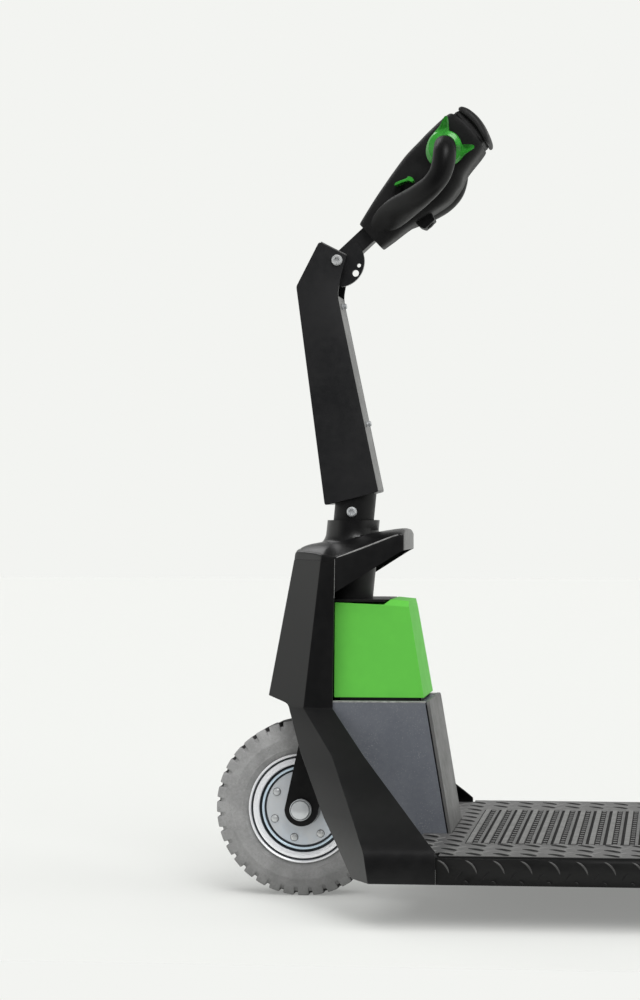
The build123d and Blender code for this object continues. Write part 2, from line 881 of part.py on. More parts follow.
# Loop grips from the root of the head round to the throttle axle
for name, side in (("grip_left", 1), ("grip_right", -1)):
    corners = [
        HEAD.from_local_coords(Vector(along, across, side * out)) for along, across, out in grip_route
    ]
    corners.append(HEAD.from_local_coords(Vector(throttle_u, throttle_n, side * grip_end)))
    with BuildPart() as grip:
        with BuildLine() as route:
            FilletPolyline(*corners, radius=grip_bends)
        with BuildSketch(Plane(origin=route.line @ 0, z_dir=route.line % 0)):
            Circle(grip_radius)
        sweep()
        add(head_form.part, mode=Mode.SUBTRACT)
        with BuildSketch(HEAD.offset(side * grip_end)):
            with Locations((throttle_u, throttle_n)):
                Circle(throttle_axle_radius + press_gap)
        extrude(amount=side * axle_seat_depth, mode=Mode.SUBTRACT)
    keep(grip, name)

# Throttle: a fixed axle between the grips, a tube on it and a butterfly at each end
with BuildPart() as throttle_axle:
    with BuildSketch(HEAD):
        with Locations((throttle_u, throttle_n)):
            Circle(throttle_axle_radius)
    extrude(amount=grip_end + axle_seat_depth - seam, both=True)
keep(throttle_axle, "throttle_axle")

with BuildPart() as throttle_tube:
    with BuildSketch(HEAD):
        with Locations((throttle_u, throttle_n)):
            Circle(throttle_tube_radius)
            Circle(throttle_axle_radius + running_gap, mode=Mode.SUBTRACT)
    extrude(amount=butterfly_inner, both=True)
keep(throttle_tube, "throttle_tube")

paddle_root = butterfly_radius - paddle_overlap
for name, side in (("butterfly_left", 1), ("butterfly_right", -1)):
    with BuildPart() as butterfly:
        with BuildSketch(HEAD.offset(side * butterfly_inner)):
            with Locations((throttle_u, throttle_n)):
                Circle(butterfly_radius)
                Circle(throttle_axle_radius + running_gap, mode=Mode.SUBTRACT)
        extrude(amount=side * butterfly_thickness)
        with BuildSketch(HEAD.offset(side * butterfly_inner)):
            for turn in (-paddle_angle, paddle_angle):
                with Locations(Location((throttle_u, throttle_n, 0), (0, 0, turn))):
                    Polygon(
                        (paddle_root, -paddle_root_half),
                        (paddle_reach, -paddle_tip_half),
                        (paddle_reach, paddle_tip_half),
                        (paddle_root, paddle_root_half),
                        align=None,
                    )
        extrude(amount=side * paddle_width)
    keep(butterfly, name)

# Belly pad at the end of the head, on two plungers
with BuildPart() as belly_pad:
    with BuildSketch(HEAD):
        with BuildLine():
            ThreePointArc(
                (pad_inner + pad_edge, pad_top),
                (pad_inner + pad_bulge, (pad_top + pad_bottom) / 2),
                (pad_inner + pad_edge / 2, pad_bottom),
            )
            Polyline(
                (pad_inner + pad_edge / 2, pad_bottom),
                (pad_inner, pad_bottom),
                (pad_inner, pad_top),
                (pad_inner + pad_edge, pad_top),
            )
        make_face()
    extrude(amount=pad_half_width, both=True)
    with BuildSketch(neck_station(pad_inner, throttle_n)):
        with GridLocations(plunger_spacing, 0, 2, 1):
            Circle(plunger_radius)
    extrude(amount=-plunger_length)
keep(belly_pad, "belly_pad")

# Side rockers and horn button
for name, side in (("rocker_left", 1), ("rocker_right", -1)):
    with BuildPart() as rocker:
        with BuildSketch(HEAD.offset(side * rocker_inner)):
            with Locations(Location((rocker_u, rocker_n, 0), (0, 0, rocker_tilt))):
                SlotOverall(rocker_length, rocker_thickness)
                Circle(rocker_shaft_radius)
        extrude(amount=side * rocker_width)
        with BuildSketch(HEAD.offset(side * rocker_inner)):
            with Locations((rocker_u, rocker_n)):
                Circle(rocker_shaft_radius)
        extrude(amount=-side * rocker_shaft_length)
    keep(rocker, name)

HORN = Plane(
    origin=HEAD.from_local_coords(Vector(horn_u, horn_block_bottom, 0)),
    x_dir=NECK,
    z_dir=HEAD.y_dir,
)
button_depth = horn_button_length - horn_button_proud
with BuildPart() as horn_block:
    with BuildSketch(HORN):
        Rectangle(horn_block_length, horn_block_width)
    extrude(amount=horn_block_length)
    add(head_form.part, mode=Mode.SUBTRACT)
    with BuildSketch(HORN):
        Circle(horn_button_radius + seam)
    extrude(amount=button_depth + horn_stroke + seam, mode=Mode.SUBTRACT)
keep(horn_block, "horn_block")

with BuildPart() as horn_button:
    with BuildSketch(HORN.offset(-horn_button_proud)):
        Circle(horn_button_radius)
    extrude(amount=horn_button_length)
keep(horn_button, "horn_button")

# Fairing: half walls from the hood down past the wheel to the platform.
# Each row is a height with the plan position of the front edge, the crease and the rear edge.
upper_rows = (
    (wheel_top + fairing_top, (-13.5, 30.5), (33.5, 78.0), (54.0, 80.0)),
    (
        wheel_top + fairing_waist,
        (-53.5, 35.5),
        (9.0, box_half_width + fairing_crease_gap),
        (52.0, box_half_width + fairing_rear_gap),
    ),
)
waist = upper_rows[-1]
waist_share = (waist_front_x - waist[1][0]) / (waist[2][0] - waist[1][0])
lower_rows = (
    (waist[0], between(waist[1], waist[2], waist_share), waist[2], waist[3]),
    (fairing_flare, (8.0, 110.0), (62.0, 160.0), (108.0, 160.0)),
    (fairing_knee, (56.0, 200.0), (108.0, 261.0), (192.0, 261.0)),
    (fairing_foot, (78.0, 230.0), (125.0, deck_half_width), (deck_front - seam, deck_half_width)),
    (deck_bottom, (103.5, 257.0), (132.0, deck_half_width), (deck_front - seam, deck_half_width)),
)


def left_side(path):
    """Plan path given with half widths, laid on the left side."""
    return [(x, -half) for x, half in path]


with BuildPart() as fairing_left:
    for height, *path in upper_rows:
        centre_line = (path[0][0], seam / 2)
        with BuildSketch(level(height)):
            Polygon(*wall(left_side([centre_line, *path]), panel_wall), align=None)
    loft(ruled=True)
    with BuildSketch(UPPER):
        Polygon(
            (waist[1][0] - panel_wall, lip_front),
            (waist[1][0], lip_front),
            (waist_front_x, lip_rear),
            (waist_front_x, fairing_waist - cut_over),
            (waist[1][0] - panel_wall, fairing_waist - cut_over),
            align=None,
        )
    extrude(amount=deck_half_width, mode=Mode.SUBTRACT)
    with BuildPart(mode=Mode.PRIVATE) as skirt:
        for height, *path in lower_rows:
            with BuildSketch(level(height)):
                Polygon(*wall(left_side(path), panel_wall), align=None)
        loft(ruled=True)
    add(skirt.part)
keep(fairing_left, "fairing_left")

with BuildPart() as fairing_right:
    mirror(fairing_left.part, about=Plane.XZ)
keep(fairing_right, "fairing_right")

# Hood: stations with half width, side height, crown half width and crown height
hood_base = fairing_top + seam
cap_stations = (
    (hood_front, 30.0, 245.0, 26.0, 251.0),
    (-4.0, 39.0, 246.0, 32.0, 257.0),
    (9.0, 52.5, 244.0, 40.0, 261.0),
    (34.0, 78.0, 242.0, 52.0, 265.0),
    (hood_join, 80.0, 243.0, 56.0, 268.0),
)
visor_front = (hood_join, 80.0, 243.0, 56.0, 268.0, 188.5)
visor_rear = (hood_rear - visor_lip, 66.0, 276.0, 55.0, 283.5, 244.5)
visor_tail = (hood_rear, 65.0, 252.0, 54.0, 256.0, 248.3)


def hood_section(half, side_height, crown_half, crown_height, base):
    """Outline across the hood: upright sides, sloped shoulders and a flat crown."""
    return (
        (-half, base),
        (-half, side_height),
        (-crown_half, crown_height),
        (crown_half, crown_height),
        (half, side_height),
        (half, base),
    )


def pulled_in(half, side_height, crown_half, crown_height):
    """Hood section sizes taken in by the wall."""
    return half - hood_wall, side_height - hood_wall, crown_half - hood_wall, crown_height - hood_wall


with BuildPart() as hood:
    for along, *sizes in cap_stations:
        with BuildSketch(station(along, wheel_top)):
            Polygon(*hood_section(*sizes, hood_base), align=None)
    loft(ruled=True)
    with BuildPart(mode=Mode.PRIVATE) as visor:
        for along, *sizes in (visor_front, visor_rear, visor_tail):
            with BuildSketch(station(along, wheel_top)):
                Polygon(*hood_section(*sizes), align=None)
        loft(ruled=True)
    add(visor.part)
    with BuildPart(mode=Mode.PRIVATE) as collar:
        with BuildSketch(COLUMN):
            with BuildLine():
                ThreePointArc(
                    (collar_flare_radius, rise(collar_flare_bottom)),
                    (collar_radius + collar_curve[0], rise(collar_flare_bottom + collar_curve[1])),
                    (collar_radius, rise(collar_flare_top)),
                )
                Polyline(
                    (collar_radius, rise(collar_flare_top)),
                    (collar_radius, rise(collar_top)),
                    (collar_bore - cut_over, rise(collar_top)),
                    (collar_bore - cut_over, rise(collar_flare_bottom - collar_root)),
                    (collar_flare_radius, rise(collar_flare_bottom - collar_root)),
                    (collar_flare_radius, rise(collar_flare_bottom)),
                )
            make_face()
        revolve(axis=COLUMN_AXIS)
    with BuildPart(mode=Mode.PRIVATE) as hollow:
        for along, *sizes in cap_stations:
            pull = hood_wall if along == hood_front else 0.0
            with BuildSketch(station(along + pull, wheel_top)):
                Polygon(*hood_section(*pulled_in(*sizes), hood_base - cut_over), align=None)
        loft(ruled=True)
    with BuildPart(mode=Mode.PRIVATE) as visor_hollow:
        for along, half, side_height, crown_half, crown_height, base in (visor_front, visor_rear):
            sizes = pulled_in(half, side_height, crown_half, crown_height)
            pull = hood_wall if along == visor_rear[0] else cut_over
            with BuildSketch(station(along - pull, wheel_top)):
                Polygon(*hood_section(*sizes, base - 2 * hood_wall), align=None)
        loft(ruled=True)
    add(hollow.part, mode=Mode.SUBTRACT)
    add(visor_hollow.part, mode=Mode.SUBTRACT)
    add(collar.part)
    with BuildSketch(COLUMN):
        Polygon(*ring(0, collar_bore, rise(head_tube_top), rise(collar_top) + cut_over), align=None)
    revolve(axis=COLUMN_AXIS, mode=Mode.SUBTRACT)
keep(hood, "hood")

# Base box: side plates, lid plate and wheel well wall, with a separate rear cover
cover_front_top = box_rear_top - rear_cover_thickness
cover_front_bottom = box_rear_bottom - rear_cover_thickness
side_rear_top = cover_front_top - seam
side_rear_bottom = cover_front_bottom - seam
lid_bottom = box_top - box_wall
box_inner = box_half_width - box_wall
with BuildPart() as base_box:
    for side in (1, -1):
        with BuildSketch(UPPER.offset(side * box_inner)):
            Polygon(
                (box_front_top, box_top),
                (side_rear_top, box_top),
                (side_rear_bottom, box_floor),
                (box_front_bottom, box_floor),
                (box_front_top, box_top - 2 * box_wall),
                align=None,
            )
        extrude(amount=side * box_wall)
    with BuildSketch(level(wheel_top + lid_bottom)):
        Polygon(
            (well_top[0], -box_inner),
            (side_rear_top, -box_inner),
            (side_rear_top, box_inner),
            (well_top[0], box_inner),
            align=None,
        )
        Polygon(
            (well_top[0], -backbone_half_width - seam),
            (well_top[0] + cross_member_length, -backbone_half_width - seam),
            (well_top[0] + cross_member_length, backbone_half_width + seam),
            (well_top[0], backbone_half_width + seam),
            align=None,
            mode=Mode.SUBTRACT,
        )
    extrude(amount=box_wall)
    with BuildSketch(UPPER):
        well_path = ((well_bottom_x, box_floor), (well_bottom_x, well_bend), well_top)
        Polygon(*wall(well_path, -well_wall), align=None)
    extrude(amount=box_inner, both=True)
keep(base_box, "base_box")

with BuildPart() as box_rear_cover:
    with BuildSketch(UPPER):
        Polygon(
            (box_rear_top, box_top),
            (box_rear_bottom, box_floor),
            (cover_front_bottom, box_floor),
            (cover_front_top, box_top),
            align=None,
        )
    extrude(amount=box_half_width, both=True)
keep(box_rear_cover, "box_rear_cover")

# Chassis weldment: platform rails, cross members and the backbone that carries the head tube
rail_half = rail_width / 2
frame_top = deck_top - deck_sheet
cross_front = (deck_nose, deck_nose + cross_member_length)
cross_rear = (deck_rear - deck_sheet - cross_member_length, deck_rear - deck_sheet)
backbone_front = deck_nose + backbone_gap
backbone_tail = backbone_front + rail_width
backbone_path = (
    (backbone_front, frame_top - wheel_top),
    (backbone_front, well_bend + backbone_gap),
    (well_top[0] + backbone_throat, lid_bottom - box_wall),
    (backbone_rear_x - backbone_throat, head_tube_bottom + backbone_gap),
    (column_x(head_tube_bottom), head_tube_bottom + backbone_gap),
    (column_x(head_tube_bottom), backbone_top),
    (backbone_rear_x, backbone_top),
    (backbone_rear_x, box_top),
    (well_top[0] + backbone_waist, lid_bottom - box_wall),
    (backbone_tail, frame_top - wheel_top),
)
with BuildPart() as chassis_frame:
    for side in (-1, 1):
        middle = side * rail_offset
        with BuildSketch(station(cross_front[0])):
            Polygon(
                *ring(middle - rail_half, middle + rail_half, deck_bottom, frame_top), align=None
            )
            Polygon(
                *ring(
                    middle - rail_half + rail_wall,
                    middle + rail_half - rail_wall,
                    deck_bottom + rail_wall,
                    frame_top - rail_wall,
                ),
                align=None,
                mode=Mode.SUBTRACT,
            )
        extrude(amount=cross_rear[1] - cross_front[0])
    for start, end in (cross_front, cross_rear):
        with BuildSketch(level(deck_bottom)):
            Polygon(*ring(start, end, -rail_offset + rail_half, rail_offset - rail_half), align=None)
        extrude(amount=frame_top - deck_bottom)
    with BuildSketch(UPPER):
        Polygon(*backbone_path, align=None)
    extrude(amount=backbone_half_width, both=True)
    with BuildSketch(COLUMN):
        Polygon(
            *ring(0, head_tube_radius + press_gap, 0, rise(backbone_top + head_tube_radius)),
            align=None,
        )
    revolve(axis=COLUMN_AXIS, mode=Mode.SUBTRACT)
keep(chassis_frame, "chassis_frame")

# Platform tray and mat
with BuildPart() as deck_tray:
    nose_half = deck_half_width - panel_wall - seam
    with BuildSketch(level(frame_top)):
        Polygon(*ring(deck_nose, deck_front, -nose_half, nose_half), align=None)
        Polygon(*ring(deck_front, deck_rear, -deck_half_width, deck_half_width), align=None)
        backbone_slot = backbone_half_width + seam
        Polygon(
            *ring(backbone_front - seam, backbone_tail + seam, -backbone_slot, backbone_slot),
            align=None,
            mode=Mode.SUBTRACT,
        )
    extrude(amount=deck_sheet)
    with BuildSketch(level(deck_bottom)):
        for side in (-1, 1):
            edge = side * deck_half_width
            Polygon(*ring(deck_front, deck_rear, edge - side * deck_sheet, edge), align=None)
        Polygon(*ring(deck_rear - deck_sheet, deck_rear, -deck_half_width, deck_half_width), align=None)
    extrude(amount=frame_top - deck_bottom)
keep(deck_tray, "deck_tray")

mat_half = deck_half_width - mat_margin
box_edge = box_half_width + mat_box_gap
with BuildPart() as deck_mat:
    with BuildSketch(level(deck_top)):
        Polygon(
            *ring(deck_front + mat_margin, deck_rear - mat_margin, -mat_half, mat_half), align=None
        )
        for side in (-1, 1):
            Polygon(
                *ring(mat_nose, deck_front + mat_margin, side * box_edge, side * mat_nose_half_width),
                align=None,
            )
    extrude(amount=mat_thickness)
keep(deck_mat, "deck_mat")

# Rear rollers on short axles between bracket plates
roller_half = roller_width / 2
plate_inner = roller_half + roller_side_gap
plate_outer = plate_inner + bracket_thickness
with BuildPart() as rear_brackets:
    for middle in (-roller_offset, roller_offset):
        for start in (middle - plate_outer, middle + plate_inner):
            with BuildSketch(SIDE.offset(start)):
                with BuildLine():
                    reach = bracket_length / 2
                    front = (rear_axle_x - reach, frame_top)
                    rear = (rear_axle_x + reach, frame_top)
                    low = roller_radius - 2 * roller_bore
                    ThreePointArc(
                        (rear_axle_x - 2 * roller_bore, roller_radius),
                        (rear_axle_x, low),
                        (rear_axle_x + 2 * roller_bore, roller_radius),
                    )
                    Polyline(
                        (rear_axle_x + 2 * roller_bore, roller_radius),
                        rear,
                        front,
                        (rear_axle_x - 2 * roller_bore, roller_radius),
                    )
                make_face()
                with Locations((rear_axle_x, roller_radius)):
                    Circle(roller_bore + press_gap, mode=Mode.SUBTRACT)
            extrude(amount=bracket_thickness)
keep(rear_brackets, "rear_brackets")

with BuildPart() as rear_axles:
    for middle in (-roller_offset, roller_offset):
        with BuildSketch(SIDE.offset(middle - plate_outer - rear_axle_stub)):
            with Locations((rear_axle_x, roller_radius)):
                Circle(roller_bore)
        extrude(amount=2 * (plate_outer + rear_axle_stub))
keep(rear_axles, "rear_axles")

for name, middle in (("rear_roller_left", roller_offset), ("rear_roller_right", -roller_offset)):
    with BuildPart() as roller:
        with BuildSketch(SIDE.offset(middle - roller_half)):
            with Locations((rear_axle_x, roller_radius)):
                Circle(roller_radius)
                Circle(roller_bore + running_gap, mode=Mode.SUBTRACT)
        extrude(amount=roller_width)
        chamfer(roller.edges().filter_by(GeomType.CIRCLE).sort_by(SortBy.RADIUS)[-2:], roller_chamfer)
    keep(roller, name)

# Tow coupling: tongue bolted under the rear cross member, with an upright peg
with BuildPart() as tow_tongue:
    tongue_tip = rear_end - tongue_half_width
    with BuildSketch(level(deck_bottom - tongue_thickness)):
        with BuildLine():
            Polyline(
                (tongue_tip, tongue_half_width),
                (deck_rear - tongue_anchor, tongue_half_width),
                (deck_rear - tongue_anchor, -tongue_half_width),
                (tongue_tip, -tongue_half_width),
            )
            ThreePointArc(
                (tongue_tip, -tongue_half_width), (rear_end, 0), (tongue_tip, tongue_half_width)
            )
        make_face()
    extrude(amount=tongue_thickness)
keep(tow_tongue, "tow_tongue")

with BuildPart() as tow_peg:
    with BuildSketch(level(deck_bottom)):
        with Locations((rear_end - peg_setback, 0)):
            Circle(peg_radius)
    extrude(amount=peg_height)
    chamfer(tow_peg.edges().group_by(Axis.Z)[-1], length=peg_chamfer)
keep(tow_peg, "tow_peg")

# Battery: green cassette that straddles the steering column, with its seat and cells
with BuildPart() as battery_seat:
    with BuildSketch(level(wheel_top + box_top)):
        Polygon(
            *ring(seat_front, side_rear_top - seat_inset, -seat_half_width, seat_half_width), align=None
        )
    extrude(amount=battery_bottom - box_top - seam)
keep(battery_seat, "battery_seat")


def cassette(rear, half):
    """Plan outline of the battery cassette, open towards the column."""
    return (
        (battery_front, -half),
        (rear, -half),
        (rear, half),
        (battery_front, half),
        (battery_front, battery_notch_half),
        (battery_notch_x, battery_notch_half),
        (battery_notch_x, -battery_notch_half),
        (battery_front, -battery_notch_half),
    )


top_run = battery_rear_top - battery_front
top_fall = battery_top_front - battery_top
top_length = hypot(top_run, top_fall)


def battery_lid(below=0.0):
    """Plane of the cassette's sloping top, or of a level under it, drawn from its rear edge."""
    origin = (axle_x + battery_rear_top, 0, wheel_top + battery_top - below)
    return Plane(origin=origin, x_dir=(top_run, 0, -top_fall), z_dir=(top_fall, 0, top_run))


def on_lid(outline):
    """Plan points carried straight up on to the sloping top."""
    return [((along - battery_rear_top) * top_length / top_run, across) for along, across in outline]


chamber_front = battery_notch_x + battery_wall
with BuildPart() as battery_case:
    with BuildSketch(level(wheel_top + battery_bottom)):
        Polygon(*cassette(battery_rear_bottom, battery_half_bottom), align=None)
    with BuildSketch(battery_lid()):
        Polygon(*on_lid(cassette(battery_rear_top, battery_half_top)), align=None)
    loft(ruled=True)
    with BuildSketch(level(wheel_top + battery_bottom)):
        half = battery_half_bottom - battery_wall
        Polygon(*ring(chamber_front, battery_rear_bottom - battery_wall, -half, half), align=None)
    with BuildSketch(battery_lid(battery_wall)):
        half = battery_half_top - battery_wall
        chamber = ring(chamber_front, battery_rear_top - battery_wall, -half, half)
        Polygon(*on_lid(chamber), align=None)
    loft(ruled=True, mode=Mode.SUBTRACT)
keep(battery_case, "battery_case")

with BuildPart() as battery_base:
    half = battery_half_bottom - battery_wall - battery_base_gap
    rear = battery_rear_bottom - battery_wall - battery_base_gap
    with BuildSketch(level(wheel_top + battery_bottom)):
        Polygon(*ring(chamber_front + seam, rear, -half, half), align=None)
    extrude(amount=battery_wall)
keep(battery_base, "battery_base")

with BuildPart() as battery_cells:
    for layer in range(2):
        cell_bottom = wheel_top + battery_bottom + battery_wall + layer * (cell_length + seam)
        with BuildSketch(level(cell_bottom)):
            with Locations((chamber_front + cell_radius + seam, 0)):
                with GridLocations(0, cell_pitch, 1, cell_count):
                    Circle(cell_radius)
        extrude(amount=cell_length)
keep(battery_cells, "battery_cells")

# Motor controller and contactor on the flanks of the backbone
controller_outer = controller_gap - box_inner
with BuildPart() as motor_controller:
    with BuildSketch(level(controller_base)):
        start = -backbone_half_width - seam
        Polygon(
            *ring(
                controller_x - controller_depth / 2,
                controller_x + controller_depth / 2,
                controller_outer,
                start,
            ),
            align=None,
        )
        fin_step = controller_depth / controller_fins
        for index in range(controller_fins - 1):
            middle = controller_x - controller_depth / 2 + (index + 1) * fin_step
            Polygon(
                *ring(
                    middle - fin_step / 4,
                    middle + fin_step / 4,
                    controller_outer,
                    controller_outer + fin_step,
                ),
                align=None,
                mode=Mode.SUBTRACT,
            )
    extrude(amount=controller_height)
keep(motor_controller, "motor_controller")

contactor_depth, contactor_width, contactor_height = contactor_size
with BuildPart() as contactor:
    start = backbone_half_width + seam
    with BuildSketch(level(controller_base)):
        Polygon(
            *ring(
                controller_x - contactor_depth / 2,
                controller_x + contactor_depth / 2,
                start,
                start + contactor_width,
            ),
            align=None,
        )
    extrude(amount=contactor_height)
    with BuildSketch(level(controller_base + contactor_height)):
        with Locations((controller_x, start + contactor_width / 2)):
            with GridLocations(0, contactor_width / 2, 1, 2):
                Circle(contactor_stud_radius)
    extrude(amount=contactor_stud_length)
keep(contactor, "contactor")
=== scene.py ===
# %% [markdown]
# An electric tow tug pulls a train of trolleys while its driver stands on the low platform. This
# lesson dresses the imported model: CAD already fixed every size, place and joint, so each new piece
# is drawn in the same frame. Distances are in millimetres: along X from the drive axle, across Y
# from the middle, and up Z from the ground.

import json

import bmesh
import bpy
import numpy as np
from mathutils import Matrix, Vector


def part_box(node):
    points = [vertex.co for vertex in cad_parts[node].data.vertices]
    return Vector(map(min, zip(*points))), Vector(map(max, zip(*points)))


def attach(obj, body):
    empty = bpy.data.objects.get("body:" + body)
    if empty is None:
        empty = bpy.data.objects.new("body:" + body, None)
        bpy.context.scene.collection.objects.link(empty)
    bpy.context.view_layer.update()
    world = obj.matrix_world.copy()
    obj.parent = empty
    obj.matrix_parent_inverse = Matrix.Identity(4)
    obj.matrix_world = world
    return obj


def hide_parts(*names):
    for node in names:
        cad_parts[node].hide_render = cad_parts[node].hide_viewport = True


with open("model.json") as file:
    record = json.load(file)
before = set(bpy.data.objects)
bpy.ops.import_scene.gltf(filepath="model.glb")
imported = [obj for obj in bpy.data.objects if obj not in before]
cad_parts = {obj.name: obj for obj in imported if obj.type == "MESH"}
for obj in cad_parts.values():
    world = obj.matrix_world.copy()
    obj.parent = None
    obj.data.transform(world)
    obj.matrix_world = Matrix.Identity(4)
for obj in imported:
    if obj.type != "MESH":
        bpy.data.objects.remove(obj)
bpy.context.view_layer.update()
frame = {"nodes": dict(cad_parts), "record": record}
record = frame["record"]
slot_of = {row["node"]: row["material_slot"] for row in record["subparts"]}
body_of = {node: body for body, nodes in record["behaviour"]["bodies"].items() for node in nodes}
MM = 0.001
tyre_low, tyre_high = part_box("tyre")
axle_x = (tyre_low[0] + tyre_high[0]) / 2
axle_height = 130.0

# %% [markdown]
# The picture was taken from the driver's left, low and a little behind the column, with a long
# lens. A camera could be placed by eye, but the platform's edges give its distance and height, so
# those numbers stand here. A small sideways shift keeps upright edges upright.

# %% Camera
eye = np.array([550.6, -3455.7, 586.0])
heading = 5.068
camera_data = bpy.data.cameras.new("camera")
camera_data.lens = 84.10
camera_data.sensor_width = 36.0
camera_data.shift_x = -0.1492
camera = bpy.data.objects.new("camera", camera_data)
camera.location = eye * MM + (axle_x, 0, 0)
camera.rotation_euler = np.radians((90.0, 0.0, heading))
bpy.context.scene.collection.objects.link(camera)
bpy.context.scene.camera = camera
bpy.context.scene.view_settings.view_transform = "Standard"
print("camera stands", round(-eye[1] * MM, 2), "m to the side")

# %% [markdown]
# A shader is a small graph of nodes. The first helper adds one node, sets its options, and fills
# each input with a value or with a link from another node, so that a whole graph stays readable.
# The others name the steps that come back often.


# %% Node helpers
def node(tree, kind, inputs=(), **options):
    """Adds a shader node: sockets given as inputs are linked, other inputs are set as values."""
    made = tree.nodes.new("ShaderNode" + kind)
    for name, value in options.items():
        setattr(made, name, value)
    for name, value in dict(inputs).items():
        if isinstance(value, bpy.types.NodeSocket):
            tree.links.new(value, made.inputs[name])
        else:
            made.inputs[name].default_value = value
    return made


def mixed_colour(tree, factor, first, second):
    """Colour between two others by a factor."""
    return node(tree, "Mix", {"Factor": factor, 6: first, 7: second}, data_type="RGBA").outputs[2]


def math_step(tree, operation, first, second):
    """Result of one arithmetic step."""
    return node(tree, "Math", {0: first, 1: second}, operation=operation).outputs[0]


def between(tree, value, low, high, start=0.0, end=1.0):
    """Smooth step of a value from one range to another."""
    inputs = {"Value": value, "From Min": low, "From Max": high, "To Min": start, "To Max": end}
    return node(tree, "MapRange", inputs, interpolation_type="SMOOTHSTEP").outputs["Result"]


def spread_over(tree, share, low, high):
    """A share from 0 to 1 as a value between two others."""
    return node(tree, "MapRange", {"Value": share, "To Min": low, "To Max": high}).outputs["Result"]


def noise(tree, place, scale, detail):
    """Cloudy noise at a place."""
    return node(tree, "TexNoise", {"Vector": place, "Scale": scale, "Detail": detail}).outputs["Fac"]


def radius_from(tree, place):
    """Distance of a place from the Y axis: the length of its X and Z."""
    parts = node(tree, "SeparateXYZ", {"Vector": place}).outputs
    flat = node(tree, "CombineXYZ", {"X": parts["X"], "Y": parts["Z"]}).outputs["Vector"]
    return node(tree, "VectorMath", {0: flat}, operation="LENGTH").outputs["Value"]


print("node helpers ready")

# %% [markdown]
# A product studio has a pale sweep behind the object, pale walls beside it and a darker room behind
# the camera. The dark room is why the tug's near side is deep black while its angled faces shine.
# The world could be an image; here a blend on the direction does it, and camera rays see one pale
# tone.

# %% Studio world
backdrop = (0.896, 0.905, 0.880, 1.0)
dark_room = (0.06, 0.06, 0.063, 1.0)
world = bpy.data.worlds.new("studio")
bpy.context.scene.world = world
world.use_nodes = True
tree = world.node_tree
tree.nodes.clear()
direction = node(tree, "TexCoord").outputs["Generated"]
towards = node(tree, "SeparateXYZ", {"Vector": direction}).outputs
pale_share = between(tree, towards["Y"], -0.85, -0.25)
ceiling = between(tree, towards["Z"], 0.08, 0.70, start=1.0, end=0.15)
shade = math_step(tree, "MULTIPLY", pale_share, ceiling)
surround = mixed_colour(tree, shade, dark_room, backdrop)
around, seen = (
    node(tree, "Background", {"Color": colour, "Strength": 1.0}).outputs["Background"]
    for colour in (surround, backdrop)
)
camera_ray = node(tree, "LightPath").outputs["Is Camera Ray"]
mixed = node(tree, "MixShader", {0: camera_ray, 1: around, 2: seen})
node(tree, "OutputWorld", {"Surface": mixed.outputs["Shader"]})
print("world: pale sweep with a dark room behind the camera")

# %% [markdown]
# Area lamps would fade with distance, so wide suns stand in for soft boxes: their light is even
# over the whole floor, and a wide angle keeps shadows soft. One hangs overhead, one lights the rear
# faces, two the near side, and a small soft box behind draws a highlight along rounded tops.


# %% Lamps
def soft_sun(name, towards, strength, spread, shines=True):
    """A sun whose light travels along a direction, spread over an angle in degrees."""
    data = bpy.data.lights.new(name, "SUN")
    data.energy = strength
    data.angle = np.radians(spread)
    lamp = bpy.data.objects.new(name, data)
    x, y, z = towards
    lamp.rotation_euler = (np.arctan2(np.hypot(x, y), -z), 0.0, np.arctan2(y, x) - np.pi / 2)
    lamp.visible_glossy = shines
    bpy.context.scene.collection.objects.link(lamp)


soft_sun("overhead", (-0.05, 0.15, -1.0), strength=1.7, spread=58.0, shines=False)
soft_sun("rear_side", (-0.9, 0.2, -0.55), strength=0.7, spread=40.0, shines=False)
soft_sun("key", (-0.32, 0.66, -0.66), strength=1.4, spread=32.0)
soft_sun("fill", (0.35, 0.90, -0.25), strength=1.0, spread=60.0, shines=False)
soft_sun("soft_box", (0.50, -0.50, -0.70), strength=0.5, spread=30.0)
print("lamps", len(bpy.data.lights))

# %% [markdown]
# The floor is one large plain sheet. Part of its paleness is its own glow, so that the shadow under
# the platform stays as light as in the picture.

# %% Floor
floor_half, floor_front, floor_back = 9, -0.55, 14
floor_corners = [
    (-floor_half, floor_front, 0), (floor_half, floor_front, 0), (floor_half, floor_back, 0),
    (-floor_half, floor_back, 0),
]
floor_mesh = bpy.data.meshes.new("floor")
floor_mesh.from_pydata(floor_corners, [], [(0, 1, 2, 3)])
floor = bpy.data.objects.new("floor", floor_mesh)
bpy.context.scene.collection.objects.link(floor)
floor_finish = bpy.data.materials.new("floor_pale")
floor_finish.use_nodes = True
floor_shader = floor_finish.node_tree.nodes["Principled BSDF"]
floor_values = {
    "Base Color": (0.476, 0.481, 0.467, 1.0), "Roughness": 1.0, "Specular IOR Level": 0.0,
    "Emission Color": backdrop, "Emission Strength": 0.27,
}
for label, value in floor_values.items():
    floor_shader.inputs[label].default_value = value
floor_mesh.materials.append(floor_finish)
print("floor laid")

# %% [markdown]
# Real surfaces are never one flat colour. Five effects come back in many finishes, so each is built
# once as a node group: cloudy mottling, fine moulded grain, paint speckle, dust that gathers low
# down, and the fine circles that turning leaves on metal. Every material plugs them in with its own
# values.


# %% Shared effects
def effect(name, inputs, outputs):
    """Starts a node group with named inputs and outputs, and returns its tree and both ends."""
    tree = bpy.data.node_groups.new(name, "ShaderNodeTree")
    for way, sockets in (("INPUT", inputs), ("OUTPUT", outputs)):
        for label, kind in sockets.items():
            tree.interface.new_socket(label, in_out=way, socket_type="NodeSocket" + kind)
    return tree, tree.nodes.new("NodeGroupInput").outputs, tree.nodes.new("NodeGroupOutput").inputs


